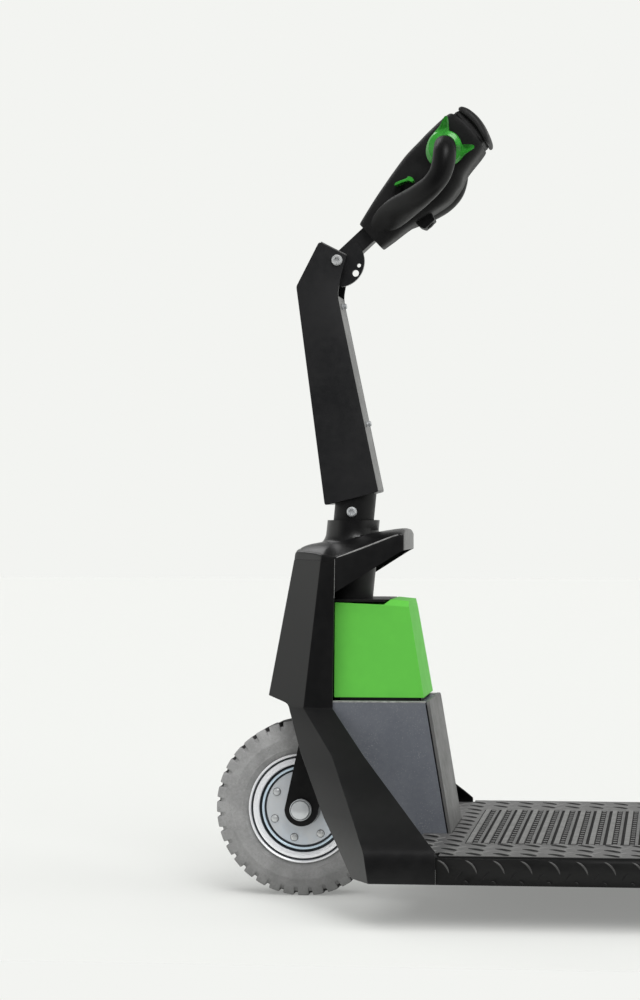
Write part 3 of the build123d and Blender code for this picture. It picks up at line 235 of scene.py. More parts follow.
tree, given, result = effect(
    "mottle",
    {"Place": "Vector", "Scale": "Float", "Colour": "Color", "Tint": "Color", "Smooth": "Float",
     "Rough": "Float"},
    {"Colour": "Color", "Roughness": "Float"},
)
broad = noise(tree, given["Place"], given["Scale"], 5.0)
fine = noise(tree, given["Place"], math_step(tree, "MULTIPLY", given["Scale"], 9.0), 3.0)
both = math_step(tree, "ADD", broad, math_step(tree, "MULTIPLY", fine, 0.45))
cloud = between(tree, both, 0.5, 0.95)
tree.links.new(mixed_colour(tree, cloud, given["Colour"], given["Tint"]), result["Colour"])
tree.links.new(spread_over(tree, cloud, given["Smooth"], given["Rough"]), result["Roughness"])

tree, given, result = effect("grain", {"Place": "Vector", "Scale": "Float"}, {"Height": "Float"})
pebble = node(
    tree,
    "TexVoronoi",
    {"Vector": given["Place"], "Scale": given["Scale"], "Smoothness": 0.8},
    feature="SMOOTH_F1",
)
grit = noise(tree, given["Place"], given["Scale"], 4.0)
tree.links.new(math_step(tree, "ADD", pebble.outputs["Distance"], grit), result["Height"])

tree, given, result = effect(
    "speckle", {"Place": "Vector", "Scale": "Float", "Amount": "Float"}, {"Mask": "Float"}
)
flecks = node(tree, "TexVoronoi", {"Vector": given["Place"], "Scale": given["Scale"]})
patches = noise(tree, given["Place"], math_step(tree, "MULTIPLY", given["Scale"], 0.13), 6.0)
size = math_step(tree, "MULTIPLY", patches, given["Amount"])
inside = math_step(tree, "SUBTRACT", size, flecks.outputs["Distance"])
tree.links.new(between(tree, inside, -0.05, 0.2), result["Mask"])

tree, given, result = effect(
    "low_dust", {"Place": "Vector", "Reach": "Float", "Amount": "Float"}, {"Mask": "Float"}
)
height = node(tree, "SeparateXYZ", {"Vector": given["Place"]}).outputs["Z"]
near_floor = math_step(tree, "SUBTRACT", 1.0, math_step(tree, "DIVIDE", height, given["Reach"]))
drift = noise(tree, given["Place"], 22.0, 7.0)
settled = between(tree, math_step(tree, "MULTIPLY", near_floor, drift), 0.05, 0.6)
tree.links.new(math_step(tree, "MULTIPLY", settled, given["Amount"]), result["Mask"])

tree, given, result = effect("turned_rings", {"Place": "Vector", "Scale": "Float"}, {"Value": "Float"})
way_out = math_step(tree, "MULTIPLY", radius_from(tree, given["Place"]), given["Scale"])
circles = node(tree, "TexNoise", {"W": way_out, "Scale": 1.0, "Detail": 3.0}, noise_dimensions="1D")
tree.links.new(circles.outputs["Fac"], result["Value"])
print("effects", [group.name for group in bpy.data.node_groups])

# %% [markdown]
# One function turns a row of values into a finish. A Principled shader stays in each material, and
# the groups feed its colour, its roughness and the height of a bump. Metals read the turned circles
# instead of the mottled roughness.

# %% Finish maker
bump_height = 0.0006
finishes = {}


def grouped(tree, name, inputs):
    """Places a shared effect in a material with its own values."""
    return node(tree, "Group", inputs, node_tree=bpy.data.node_groups[name]).outputs


def tone(colour):
    """Colour with full alpha."""
    return (*colour, 1.0)


def finish(
    slot, colour, tint, smooth, rough, clouds=14.0, grain=900.0, depth=0.12, metal=0.0,
    specular=0.5, speckle=None, dust=None, rings=None,
):
    """Builds one finish: a mottled colour and roughness, a fine bump, and the effects it asks for."""
    material = bpy.data.materials.new(slot)
    material.use_nodes = True
    tree = material.node_tree
    shader = tree.nodes["Principled BSDF"].inputs
    place = node(tree, "TexCoord").outputs["Object"]
    mottle = grouped(
        tree,
        "mottle",
        {"Place": place, "Scale": clouds, "Colour": tone(colour), "Tint": tone(tint),
         "Smooth": smooth, "Rough": rough},
    )
    base = mottle["Colour"]
    for name, label, values in (("speckle", "Scale", speckle), ("low_dust", "Reach", dust)):
        if values:
            first, amount, over = values
            mask = grouped(tree, name, {"Place": place, label: first, "Amount": amount})["Mask"]
            base = mixed_colour(tree, mask, base, tone(over))
    tree.links.new(base, shader["Base Color"])
    if rings:
        density, centre = rings
        centred = node(tree, "Mapping", {"Vector": place, "Location": centre}).outputs["Vector"]
        relief = grouped(tree, "turned_rings", {"Place": centred, "Scale": density})["Value"]
        tree.links.new(spread_over(tree, relief, smooth, rough), shader["Roughness"])
    else:
        relief = grouped(tree, "grain", {"Place": place, "Scale": grain})["Height"]
        tree.links.new(mottle["Roughness"], shader["Roughness"])
    bump = node(tree, "Bump", {"Height": relief, "Strength": depth, "Distance": bump_height})
    tree.links.new(bump.outputs["Normal"], shader["Normal"])
    shader["Metallic"].default_value = metal
    shader["Specular IOR Level"].default_value = specular
    finishes[slot] = material


print("finish maker ready")

# %% [markdown]
# The finishes follow the record's slots: grey non-marking rubber, zinc plate, powder-coated steel,
# satin black mouldings, two greens, speckled blue-grey paint and black rubber. Colours are written
# in linear light, measured from the picture and cleared of its shading. After a colour and its tint
# come the least and the most roughness, how fine the clouds and the grain are, and the bump's
# depth.

# %% Finishes
dust_grey = (0.20, 0.195, 0.185)
wheel_centre = (-axle_x, 0.0, -axle_height * MM)
finish("tyre_grey", (0.30, 0.30, 0.297), (0.22, 0.22, 0.218), 0.72, 0.9, 30.0, 700.0, 0.2,
       speckle=(420.0, 0.42, (0.17, 0.17, 0.17)), dust=(0.16, 0.5, (0.14, 0.14, 0.138)))
finish("rim_zinc", (0.63, 0.65, 0.665), (0.59, 0.64, 0.69), 0.27, 0.285, 16.0, depth=0.001, metal=0.35,
       rings=(260.0, wheel_centre))
finish("bolt_zinc", (0.62, 0.63, 0.63), (0.56, 0.58, 0.59), 0.24, 0.34, 20.0, 1500.0, 0.01, metal=0.45)
finish("axle_steel", (0.66, 0.68, 0.69), (0.60, 0.62, 0.63), 0.2, 0.3, depth=0.005, metal=0.4,
       rings=(260.0, wheel_centre))
finish("bearing_steel", (0.55, 0.56, 0.57), (0.47, 0.48, 0.49), 0.25, 0.4, metal=1.0)
finish("motor_iron", (0.13, 0.13, 0.135), (0.09, 0.09, 0.09), 0.5, 0.7, metal=0.6)
finish("motor_copper", (0.55, 0.25, 0.12), (0.42, 0.18, 0.09), 0.3, 0.5, grain=1800.0, metal=1.0)
finish("frame_black", (0.0045, 0.0045, 0.0047), (0.0070, 0.0070, 0.0070), 0.34, 0.5, 18.0, 1300.0, 0.06,
       specular=0.22)
finish("arm_black", (0.0095, 0.0098, 0.0105), (0.013, 0.013, 0.0135), 0.32, 0.44, 10.0, 1500.0, 0.05)
finish("arm_grey", (0.095, 0.095, 0.093), (0.12, 0.12, 0.118), 0.34, 0.48, 16.0, 1500.0, 0.05)
finish("fairing_black", (0.0045, 0.0045, 0.0047), (0.0065, 0.0065, 0.0065), 0.28, 0.38, 9.0, 1700.0, 0.02,
       specular=0.42)
finish("hood_black", (0.0045, 0.0045, 0.0047), (0.0065, 0.0065, 0.0065), 0.28, 0.38, 9.0, 1700.0, 0.02)
finish("head_black", (0.0080, 0.0080, 0.0082), (0.012, 0.012, 0.012), 0.46, 0.58, 26.0, 1500.0, 0.08,
       specular=0.18)
finish("grip_black", (0.0048, 0.0048, 0.0049), (0.0070, 0.0070, 0.0070), 0.36, 0.48, 30.0, 1900.0, 0.08,
       specular=0.22)
finish("pad_grey", (0.011, 0.011, 0.0109), (0.016, 0.016, 0.0158), 0.46, 0.62, 40.0, 1500.0, 0.15,
       specular=0.3)
finish("control_green", (0.040, 0.34, 0.034), (0.028, 0.26, 0.026), 0.16, 0.26, 40.0, 2200.0, 0.02)
finish("battery_green", (0.128, 0.53, 0.070), (0.117, 0.49, 0.066), 0.44, 0.54, 7.0, 1900.0, 0.04,
       specular=0.06)
finish("box_grey", (0.122, 0.131, 0.149), (0.099, 0.108, 0.126), 0.42, 0.6, 18.0, 1100.0, 0.1,
       speckle=(330.0, 0.5, (0.168, 0.175, 0.19)))
finish("cover_grey", (0.104, 0.104, 0.102), (0.090, 0.090, 0.088), 0.42, 0.56, 12.0, 1300.0, 0.06,
       specular=0.3)
# A pale grey for thin edge pieces: a painted highlight along edges that catch the light.
finish("edge_grey", (0.30, 0.30, 0.295), (0.16, 0.16, 0.158), 0.42, 0.56, 160.0, 1300.0, 0.06)
finish("deck_black", (0.0068, 0.0068, 0.0068), (0.0095, 0.0095, 0.0094), 0.34, 0.5, 20.0, 1100.0, 0.05,
       specular=0.2)
# A lighter black for the skirt's bold lens marks: a painted highlight where their ridges catch the light.
finish("deck_worn", (0.038, 0.038, 0.037), (0.055, 0.055, 0.053), 0.3, 0.42, 40.0, 1100.0, 0.06)
finish("roller_grey", (0.075, 0.075, 0.077), (0.10, 0.10, 0.10), 0.5, 0.7, 40.0, 1100.0, 0.2,
       dust=(0.07, 0.5, dust_grey))
finish("board_green", (0.02, 0.11, 0.04), (0.015, 0.08, 0.03), 0.35, 0.5)
finish("cell_grey", (0.16, 0.17, 0.18), (0.12, 0.13, 0.14), 0.35, 0.5)
finish("heatsink", (0.40, 0.41, 0.42), (0.33, 0.34, 0.35), 0.35, 0.5, metal=0.9)
finish("plastic_black", (0.0060, 0.0060, 0.0060), (0.0090, 0.0090, 0.0090), 0.4, 0.55, specular=0.25)
print("finishes", len(finishes))

# %% [markdown]
# Some surfaces change with their place. The mat is darker low in its grooves, which is painted
# shade, and lighter at the tops of its ribs, which is a painted highlight; its grooves are also
# duller. The tyre's tread is darkened with painted shade for its grooves, and the rim's bands carry
# painted reflections with painted shade in the grooves between them. Textures could be painted for
# this, but here each finish reads the point's own position and mixes a second colour in, so nothing
# has to be unwrapped.


# %% Finishes that read a place
def place_part(tree, axis):
    """One coordinate of the point in the object's own space."""
    place = node(tree, "TexCoord").outputs["Object"]
    return node(tree, "SeparateXYZ", {"Vector": place}).outputs[axis]


def stained(tree, mask, colour):
    """Mixes a colour over a material's base colour by a mask."""
    socket = tree.nodes["Principled BSDF"].inputs["Base Color"]
    before = socket.links[0].from_socket
    tree.links.new(mixed_colour(tree, mask, before, tone(colour)), socket)


tyre_tree = finishes["tyre_grey"].node_tree
tread_edge, tread_full = 29.5, 26.0
off_middle = math_step(tyre_tree, "ABSOLUTE", place_part(tyre_tree, "Y"), 0.0)
tread_shade_mask = between(tyre_tree, off_middle, tread_edge * MM, tread_full * MM)
# The tread is darkened here: painted shade, so the grooves between its lugs read dark.
stained(tyre_tree, tread_shade_mask, (0.035, 0.035, 0.035))

rim_tree = finishes["rim_zinc"].node_tree
rim_place = node(rim_tree, "TexCoord").outputs["Object"]
from_axle = node(rim_tree, "Mapping", {"Vector": rim_place, "Location": wheel_centre})
rim_radius = radius_from(rim_tree, from_axle.outputs["Vector"])


def ring_mask(low, high, soft=0.35):
    """Mask of a ring of the rim between two radii, with soft edges."""
    inner = between(rim_tree, rim_radius, (low - soft) * MM, (low + soft) * MM)
    outer = between(rim_tree, rim_radius, (high + soft) * MM, (high - soft) * MM)
    return math_step(rim_tree, "MULTIPLY", inner, outer)


# Colours by radius paint light on the rim: a pale painted reflection over the wide band and the lip, a
# light-blue painted reflection on the raised ring, and painted shade in the three grooves.
rim_groove_shade = (0.045, 0.052, 0.060)
for low, high, colour in (
    (65.4, 90.0, (0.90, 0.91, 0.93)), (74.9, 77.4, rim_groove_shade), (61.9, 65.4, rim_groove_shade),
    (58.2, 61.9, (0.66, 0.80, 0.90)), (55.5, 58.2, rim_groove_shade),
):
    stained(rim_tree, ring_mask(low, high), colour)

# Two mat finishes paint light: a near-black one is painted shade beside the tread's ridges, and a lighter
# one is a painted highlight on the ridges.
finish("mat_groove", (0.0080, 0.0080, 0.0079), (0.012, 0.012, 0.0118), 0.7, 0.9, 60.0, 1300.0, 0.12,
       specular=0.2)
finish("mat_tread", (0.132, 0.131, 0.129), (0.165, 0.163, 0.160), 0.45, 0.6, 60.0, 1300.0, 0.12)
finish("mat_rubber", (0.072, 0.0713, 0.0705), (0.093, 0.0918, 0.0905), 0.42, 0.56, 60.0, 1300.0, 0.12)
mat_tree = finishes["mat_rubber"].node_tree
height = place_part(mat_tree, "Z")
groove_edge, groove_bed = 102.1, 101.4
highlight_start, highlight_full = 102.8, 103.6
# Low in the grooves the mat is darkened with painted shade and made duller.
groove_shade_mask = between(mat_tree, height, groove_edge * MM, groove_bed * MM)
stained(mat_tree, groove_shade_mask, (0.012, 0.012, 0.0118))
# Near the tops of the ribs a lighter tone is a painted highlight.
top_highlight_mask = between(mat_tree, height, highlight_start * MM, highlight_full * MM)
stained(mat_tree, top_highlight_mask, (0.128, 0.127, 0.124))
rough_socket = mat_tree.nodes["Principled BSDF"].inputs["Roughness"]
plain_roughness = rough_socket.links[0].from_socket
dull = node(mat_tree, "Mix", {"Factor": groove_shade_mask, 2: plain_roughness, 3: 0.95}, data_type="FLOAT")
mat_tree.links.new(dull.outputs[0], rough_socket)
print("tyre, rim and mat read their own place")

# %% [markdown]
# Every new piece is a mesh worked out as arrays. A grid of points joined by quads is the common
# form, so these helpers make the grid's faces, join shapes, and put a finished piece into the scene
# on its CAD body, in place of its CAD node.

# %% Mesh helpers
merge_gap = 2e-6
sharp_from = 24.0


def grid_faces(rows, columns, wrap_rows=False, wrap_columns=False):
    """Quads of a grid: each joins a point, its neighbour, and the two of the next row."""
    row, column = np.meshgrid(
        np.arange(rows - (not wrap_rows)), np.arange(columns - (not wrap_columns)), indexing="ij"
    )
    below = (row + 1) % rows
    right = (column + 1) % columns
    corners = (row * columns + column, row * columns + right, below * columns + right,
               below * columns + column)
    return np.stack(corners, axis=-1).reshape(-1, 4)


def gridded(points, wrap_rows=False, wrap_columns=False):
    """A grid of points as a shape: the points in a row, and the quads between them."""
    return points.reshape(-1, 3), [grid_faces(*points.shape[:2], wrap_rows, wrap_columns)]


def joined(*shapes):
    """Several shapes as one: the faces of each count on from the points before it."""
    starts = np.cumsum([0] + [len(points) for points, _ in shapes])
    points = np.concatenate([points for points, _ in shapes])
    return points, [block + start for (_, faces), start in zip(shapes, starts) for block in faces]


def repeated(shape, places):
    """A shape set down at many places: every place is added to every point."""
    points, faces = shape
    count = len(points)
    copies = (np.asarray(places, float)[:, None, :] + points[None]).reshape(-1, 3)
    steps = np.arange(len(places)) * count
    return copies, [(block[None] + steps[:, None, None]).reshape(-1, block.shape[1]) for block in faces]


def sided(shape, side):
    """A shape as it stands on one side: Y takes the side's sign."""
    return shape[0] * (1, side, 1), shape[1]


def broken_edges(piece, width):
    """Rounds a piece's sharp edges by a width in millimetres."""
    bevel = piece.modifiers.new("edge", "BEVEL")
    bevel.width = width * MM
    bevel.segments = 3
    bevel.limit_method = "ANGLE"
    bevel.angle_limit = np.radians(sharp_from)
    bevel.harden_normals = True


def put(
    name, shape, *nodes, slot=None, look=None, body=None, wall=0.0, edge=0.0, rim=0.0, smooth=32.0,
    facing=None,
):
    """Makes a piece from points in millimetres, with rounded edges and, for a sheet, a wall."""
    points, faces = shape
    mesh = bpy.data.meshes.new(name)
    corners = [corner for block in faces for corner in block.tolist()]
    mesh.from_pydata((points * MM + (axle_x, 0, 0)).tolist(), [], corners)
    work = bmesh.new()
    work.from_mesh(mesh)
    bmesh.ops.remove_doubles(work, verts=work.verts, dist=merge_gap)
    bmesh.ops.recalc_face_normals(work, faces=work.faces)
    if facing is not None:
        normals = np.array([tuple(face.normal * face.calc_area()) for face in work.faces])
        if (normals @ np.asarray(facing, float)).sum() < 0:
            bmesh.ops.reverse_faces(work, faces=work.faces)
    work.to_mesh(mesh)
    work.free()
    mesh.shade_smooth()
    mesh.set_sharp_from_angle(angle=np.radians(smooth))
    slot = slot or slot_of[nodes[0]]
    mesh.materials.append(finishes[look or slot])
    piece = bpy.data.objects.new(name, mesh)
    bpy.context.scene.collection.objects.link(piece)
    if edge:
        broken_edges(piece, edge)
    if wall:
        sheet = piece.modifiers.new("wall", "SOLIDIFY")
        sheet.thickness = wall * MM
        sheet.offset = -1.0
        sheet.use_even_offset = True
    if rim:
        broken_edges(piece, rim)
    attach(piece, body or body_of[nodes[0]])
    if nodes:
        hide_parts(*nodes)
    print(name, len(mesh.vertices), "points for", ", ".join(nodes))
    return piece


print("mesh helpers ready")

# %% [markdown]
# Four ways of drawing cover nearly all pieces: a profile turned about an axis, an outline made
# straight into a solid, rings of points lofted one to the next, and a round tube along a curve.


# %% Drawing helpers
def unit(vector):
    """Vectors of length one."""
    vector = np.asarray(vector, float)
    return vector / np.linalg.norm(vector, axis=-1, keepdims=True)


def part_way(first, second, share):
    """Straight way from one value to another: what the second gains, the first loses."""
    return first * (1 - share) + second * share


def eased(share):
    """Smooth step: three times the square less twice the cube, kept between 0 and 1."""
    share = np.clip(share, 0, 1)
    return share**2 * (3 - 2 * share)


def rectangle(front, rear, near, far):
    """Corners of a rectangle from its two ends and its two sides."""
    return np.array([(front, near), (rear, near), (rear, far), (front, far)])


def turned(profile, centre, axis=(0, 1, 0), steps=96, closed=False):
    """Each profile point, a radius and a length along the axis, is carried round the axis."""
    profile = np.asarray(profile, float)
    axis = unit(axis)
    across = unit(np.cross(axis, (0.37, 0.29, 0.88)))
    other = np.cross(axis, across)
    angle = np.linspace(0, 2 * np.pi, steps, endpoint=False)[:, None, None]
    ring = np.cos(angle) * across + np.sin(angle) * other
    points = np.asarray(centre, float) + profile[None, :, 1:] * axis + profile[None, :, :1] * ring
    return gridded(points, True, closed)


def rounded(corners, radius, steps=5):
    """Outline with each corner as a quadratic curve between points cut back along its two edges."""
    corners = np.asarray(corners, float)
    back = np.roll(corners, 1, axis=0) - corners
    ahead = np.roll(corners, -1, axis=0) - corners
    reach = np.minimum(np.linalg.norm(back, axis=1), np.linalg.norm(ahead, axis=1)) * 0.49
    cut = np.minimum(np.broadcast_to(radius, len(corners)), reach)[:, None]
    start = (corners + unit(back) * cut)[:, None]
    end = (corners + unit(ahead) * cut)[:, None]
    share = np.linspace(0, 1, steps)[None, :, None]
    curve = (1 - share) ** 2 * start + 2 * share * (1 - share) * corners[:, None] + share**2 * end
    return curve.reshape(-1, 2)


def on_side(along, up, out):
    """Side-view point: along X, up Z, and out to a level of Y."""
    return np.stack([along, out, up], axis=-1)


def on_level(along, across, up):
    """Plan point at a height."""
    return np.stack([along, across, up], axis=-1)


def raised(plan, height):
    """Plan points lifted to one height, or each to its own."""
    return np.concatenate([plan, np.broadcast_to(height, plan.shape[:-1])[..., None]], axis=-1)


def arc(radius, first, last, count=25):
    """Points of an arc round the origin, between two angles in degrees."""
    angle = np.radians(np.linspace(first, last, count))
    return np.stack([radius * np.cos(angle), radius * np.sin(angle)], axis=1)


def looked_up(table, at, *columns):
    """Columns of a table at values of its first one, by straight lines between its rows."""
    return [np.interp(at, table[:, 0], table[:, column]) for column in columns]


neck_turn = np.radians(42.6)
neck = np.array([np.cos(neck_turn), 0, np.sin(neck_turn)])
over_neck = np.array([-np.sin(neck_turn), 0, np.cos(neck_turn)])
pivot = np.array([51.0, 0.0, 940.6])


def on_head(along, over, out):
    """Point of the tiller head: along the neck, over it, and out to a level of Y."""
    along, over, out = np.broadcast_arrays(along, over, out)
    side = np.stack([np.zeros_like(out, float), out, np.zeros_like(out, float)], axis=-1)
    return pivot + along[..., None] * neck + over[..., None] * over_neck + side


def prism(outline, low, high, lay=on_side):
    """An outline at two levels, joined by quads and closed by a cap at each end."""
    across, up = np.asarray(outline, float).T
    return loft(np.stack([lay(across, up, np.full(len(up), level)) for level in (low, high)]))


def ladder(columns):
    """Cap of a ring that runs from side to side: quads join its two halves, rung by rung."""
    left = np.arange(columns // 2 - 1)
    right = columns - 1 - left
    return np.stack([left, left + 1, right - 1, right], axis=1)


def loft(rings, caps=True, rungs=False):
    """Closed rings of points joined one to the next, with a cap on the first and the last."""
    points, faces = gridded(rings, wrap_columns=True)
    if caps:
        rows, columns = rings.shape[:2]
        cap = ladder(columns) if rungs else np.arange(columns)[None]
        faces += [cap, cap + (rows - 1) * columns]
    return points, faces


def smooth_line(knots, steps):
    """Smooth curve through the knots: each stretch is a cubic that uses a knot's two neighbours."""
    knots = np.asarray(knots, float)
    ends = np.concatenate([2 * knots[:1] - knots[1:2], knots, 2 * knots[-1:] - knots[-2:-1]])
    first, second, third, fourth = (ends[k : len(ends) - 3 + k, None] for k in range(4))
    share = np.linspace(0, 1, steps, endpoint=False)[None, :, None]
    curve = 0.5 * (
        2 * second
        + (third - first) * share
        + (2 * first - 5 * second + 4 * third - fourth) * share**2
        + (3 * second - first - 3 * third + fourth) * share**3
    )
    return np.concatenate([curve.reshape(-1, knots.shape[1]), knots[-1:]])


def tube(line, wide, tall, across, steps=32):
    """Ovals set square to a line: one half size lies along a direction across it, one square to that."""
    ahead = unit(np.gradient(line, axis=0))
    side = np.asarray(across, float) - (ahead @ np.asarray(across, float))[:, None] * ahead
    side = unit(side)
    other = np.cross(ahead, side)
    angle = np.linspace(0, 2 * np.pi, steps, endpoint=False)[None, :, None]
    reach = np.asarray(wide, float)[:, None, None] * np.cos(angle) * side[:, None]
    rise = np.asarray(tall, float)[:, None, None] * np.sin(angle) * other[:, None]
    return loft(line[:, None] + reach + rise)


print("drawing helpers ready")

# %% [markdown]
# The tyre is one moulding of grey rubber. Grooves run in from both shoulders and take turns, so that
# each faces a lug. It could be a torus with the grooves cut by booleans. Here it is a grid of profile
# points by turn angles, and each angle says how deep the groove is there on either side.

# %% Tyre
tread_radius, lug_count = 130.0, 72
widest_radius, widest_out, moulded_ring = 101.6, 37.6, 0.5
hub = np.array([0.0, 0.0, axle_height])
wall_radius = np.array([81.4, 83.5, 86.0, 89.4, 90.2, 94.0, 98.0, 102.6, 103.4, 106.2, 107.0, 111.0,
                        115.0, 118.0, 120.0, 122.0, 124.4, 126.8, 128.8, tread_radius])
bulge = np.where(wall_radius < widest_radius, 0.017, 0.012)
wall_out = widest_out - bulge * (wall_radius - widest_radius) ** 2
wall_out[3] += moulded_ring
wall_out[8:10] += moulded_ring
wall_out[-5:] = (33.0, 31.9, 30.7, 29.4, 28.0)
tread_out = np.array([22.0, 12.0, 5.0, 4.0, 0.0])
half_radius = np.concatenate([[77.1, 79.0], wall_radius, np.full(len(tread_out), tread_radius)])
half_out = np.concatenate([[30.9, 30.9], wall_out, tread_out])
half_cut = np.interp(half_radius, [117.0, 121.0, 125.0, tread_radius], [0.0, 3.0, 5.4, 6.0])
half_cut[-2:] = 0.0
tyre_radius = np.concatenate([half_radius, half_radius[-2::-1]])
tyre_out = np.concatenate([half_out, -half_out[-2::-1]])
tyre_cut = np.concatenate([half_cut, half_cut[-2::-1]])
lug_step = np.array([-1.9, -1.5, -1.05, 1.05, 1.5, 1.9])
groove = np.tile([0.0, 0.12, 1.0, 1.0, 0.12, 0.0], lug_count)
near_group = np.repeat(np.arange(lug_count) % 2, len(lug_step)) == 0
lug_turn = np.arange(1, lug_count + 1) * 360 / lug_count
turn = np.radians((lug_turn[:, None] + lug_step).ravel())[:, None]
near_side = tyre_out < 0
cut_here = np.where(near_group[:, None], near_side[None], ~near_side[None])
radius = tyre_radius[None] - groove[:, None] * tyre_cut[None] * cut_here
tyre_points = on_side(
    radius * np.cos(turn), axle_height + radius * np.sin(turn), np.broadcast_to(tyre_out, radius.shape)
)
put("lugged_tyre", gridded(tyre_points, True, True), "tyre", smooth=38.0)

# %% [markdown]
# The rim is pressed from sheet and zinc plated: a rolled lip, a wide band that carries a painted
# reflection, a raised ring and a flat disc. One closed profile turned about the axle gives each half,
# as a lathe would.

# %% Rim halves
rim_profile = np.array([
    (76.9, 0.1), (76.9, 31.1), (79.6, 31.9), (80.7, 32.8), (81.0, 34.0), (80.8, 35.2), (80.0, 35.9),
    (79.0, 36.0), (78.2, 35.6), (77.7, 34.6), (77.3, 32.6), (76.2, 31.6), (75.8, 27.4), (75.4, 27.0),
    (75.0, 27.4), (74.8, 32.2), (74.2, 33.4), (72.4, 33.9), (69.6, 33.7), (69.1, 33.2), (68.6, 33.6),
    (66.8, 33.4), (65.8, 32.6), (65.3, 31.0), (64.9, 24.8), (64.3, 24.2), (62.6, 24.2), (62.1, 24.8),
    (61.8, 29.4), (61.4, 30.1), (60.7, 30.4), (59.3, 30.4), (58.6, 30.0), (58.2, 29.2), (57.7, 25.1),
    (56.4, 25.1), (55.9, 25.6), (55.5, 27.2), (54.7, 28.0), (44.0, 28.0), (34.0, 28.0), (26.2, 28.0),
    (26.2, 14.0), (31.0, 14.0), (31.0, 22.0), (72.9, 22.0), (72.9, 0.1),
])
for side, name in ((-1, "rim_left"), (1, "rim_right")):
    pressing = turned(rim_profile * (1, side), hub, steps=160, closed=True)
    put(name + "_pressing", pressing, name, smooth=30.0)

# %% [markdown]
# Seven hexagon bolts on dark iron washers hold each rim half to the motor drum. The washers' dark
# tone also paints the shade round each bolt head. Each could be an object of its own, but one is
# drawn once: its head's radius changes with the angle, which makes the six flats. The bolts are then
# copies set round the axle.


# %% Rim bolts
def hex_radius(angle, flat):
    """Radius of a hexagon at an angle: the half distance over flats divided by a cosine."""
    return flat / np.cos((angle + np.pi / 6) % (np.pi / 3) - np.pi / 6)


def bolt(head, height, washer, shank, socket=0.0):
    """A hexagon or socket bolt head along +Z: rings of a radius that is round or six-sided."""
    angle = np.linspace(0, 2 * np.pi, 48, endpoint=False)
    round_ring = np.ones_like(angle)
    six_ring = hex_radius(angle, 1.0)
    outer = round_ring if socket else six_ring
    rows = [(0.0, 0.0, round_ring), (washer, 0.0, round_ring), (washer, 0.8, round_ring),
            (washer - 0.5, 1.2, round_ring), (head, 1.2, outer), (head, height - 0.9, outer),
            (head - 1.0, height, round_ring)]
    if socket:
        rows += [(socket + 0.4, height, six_ring), (socket, height - 0.4, six_ring),
                 (socket, height * 0.5, six_ring), (0.0, height * 0.45, round_ring)]
    else:
        rows += [(head * 0.45, height + 0.35, round_ring), (0.0, height + 0.4, round_ring)]
    rings = np.stack([
        on_level(size * shape * np.cos(angle), size * shape * np.sin(angle), np.full_like(angle, level))
        for size, level, shape in rows
    ])
    thick, deep = shank
    stem = turned([(0, 0), (thick, 0), (thick, -deep), (0, -deep)], (0, 0, 0), (0, 0, 1), 24)
    return joined(loft(rings, caps=False), stem)


def aimed(shape, centre, axis):
    """A shape drawn along +Z, turned to an axis and moved to a centre."""
    axis = unit(axis)
    across = unit(np.cross(axis, (0.31, 0.83, 0.46)))
    basis = np.stack([across, np.cross(axis, across), axis])
    return shape[0] @ basis + np.asarray(centre, float), shape[1]


bolt_count, bolt_circle, disc_face = 7, 46, 28.0
bolt_turn = np.radians(-4.6 + np.arange(bolt_count) * 360 / bolt_count)
rim_bolt = bolt(head=4.6, height=3.4, washer=5.3, shank=(3.0, 16.0))
bolt_spots = [
    (side, hub + (bolt_circle * np.cos(angle), side * disc_face, -side * bolt_circle * np.sin(angle)))
    for side in (-1, 1)
    for angle in bolt_turn
]
rim_bolt_set = [aimed(rim_bolt, spot, (0, side, 0)) for side, spot in bolt_spots]
put("rim_bolt_set", joined(*rim_bolt_set), "rim_bolts", smooth=30.0)
washer_profile = [(3.4, -0.2), (6.0, -0.2), (6.0, 0.4), (5.7, 0.7), (3.4, 0.7)]
washers = [turned(washer_profile, spot, (0, side, 0), 32, True) for side, spot in bolt_spots]
put("rim_bolt_washers", joined(*washers), slot="motor_iron", body="drive_wheel", smooth=30.0)

# %% [markdown]
# The axle's end wears a polished cap that stands in a ring. It is turned like the rim, from a
# profile that starts and ends on the axis.

# %% Axle caps
cap_foot = 51.0
cap_profile = np.array([
    (0.0, 4.0), (12.6, 4.0), (12.6, 0.1), (15.4, 0.1), (16.0, 0.7), (16.0, 6.2), (15.7, 7.2),
    (15.1, 7.6), (14.6, 7.0), (14.3, 3.4), (13.9, 3.0), (13.5, 3.4), (13.4, 9.6), (13.0, 10.5),
    (12.2, 10.9), (0.0, 11.0),
]) + (0.0, cap_foot)
caps = [turned(cap_profile * (1, side), hub, steps=64) for side in (-1, 1)]
put("axle_cap_pair", joined(*caps), "axle_caps", smooth=30.0)

# %% [markdown]
# Each fork leg is a thick steel plate with a round eye on the axle. An outline with rounded corners
# is made into a straight solid, and a Bevel modifier breaks its edges as powder coat does.

# %% Fork legs
lean = np.radians(5.71)
axis_at_axle = 28.7


def column_x(height):
    """Where the leaning steering axis stands at a height."""
    return axis_at_axle + (height - axle_height) * np.tan(lean)


def on_column(across, along):
    """Side-view point across and along the steering axis, from where it meets the ground."""
    return (column_x(0.0) + across * np.cos(lean) + along * np.sin(lean),
            along * np.cos(lean) - across * np.sin(lean))


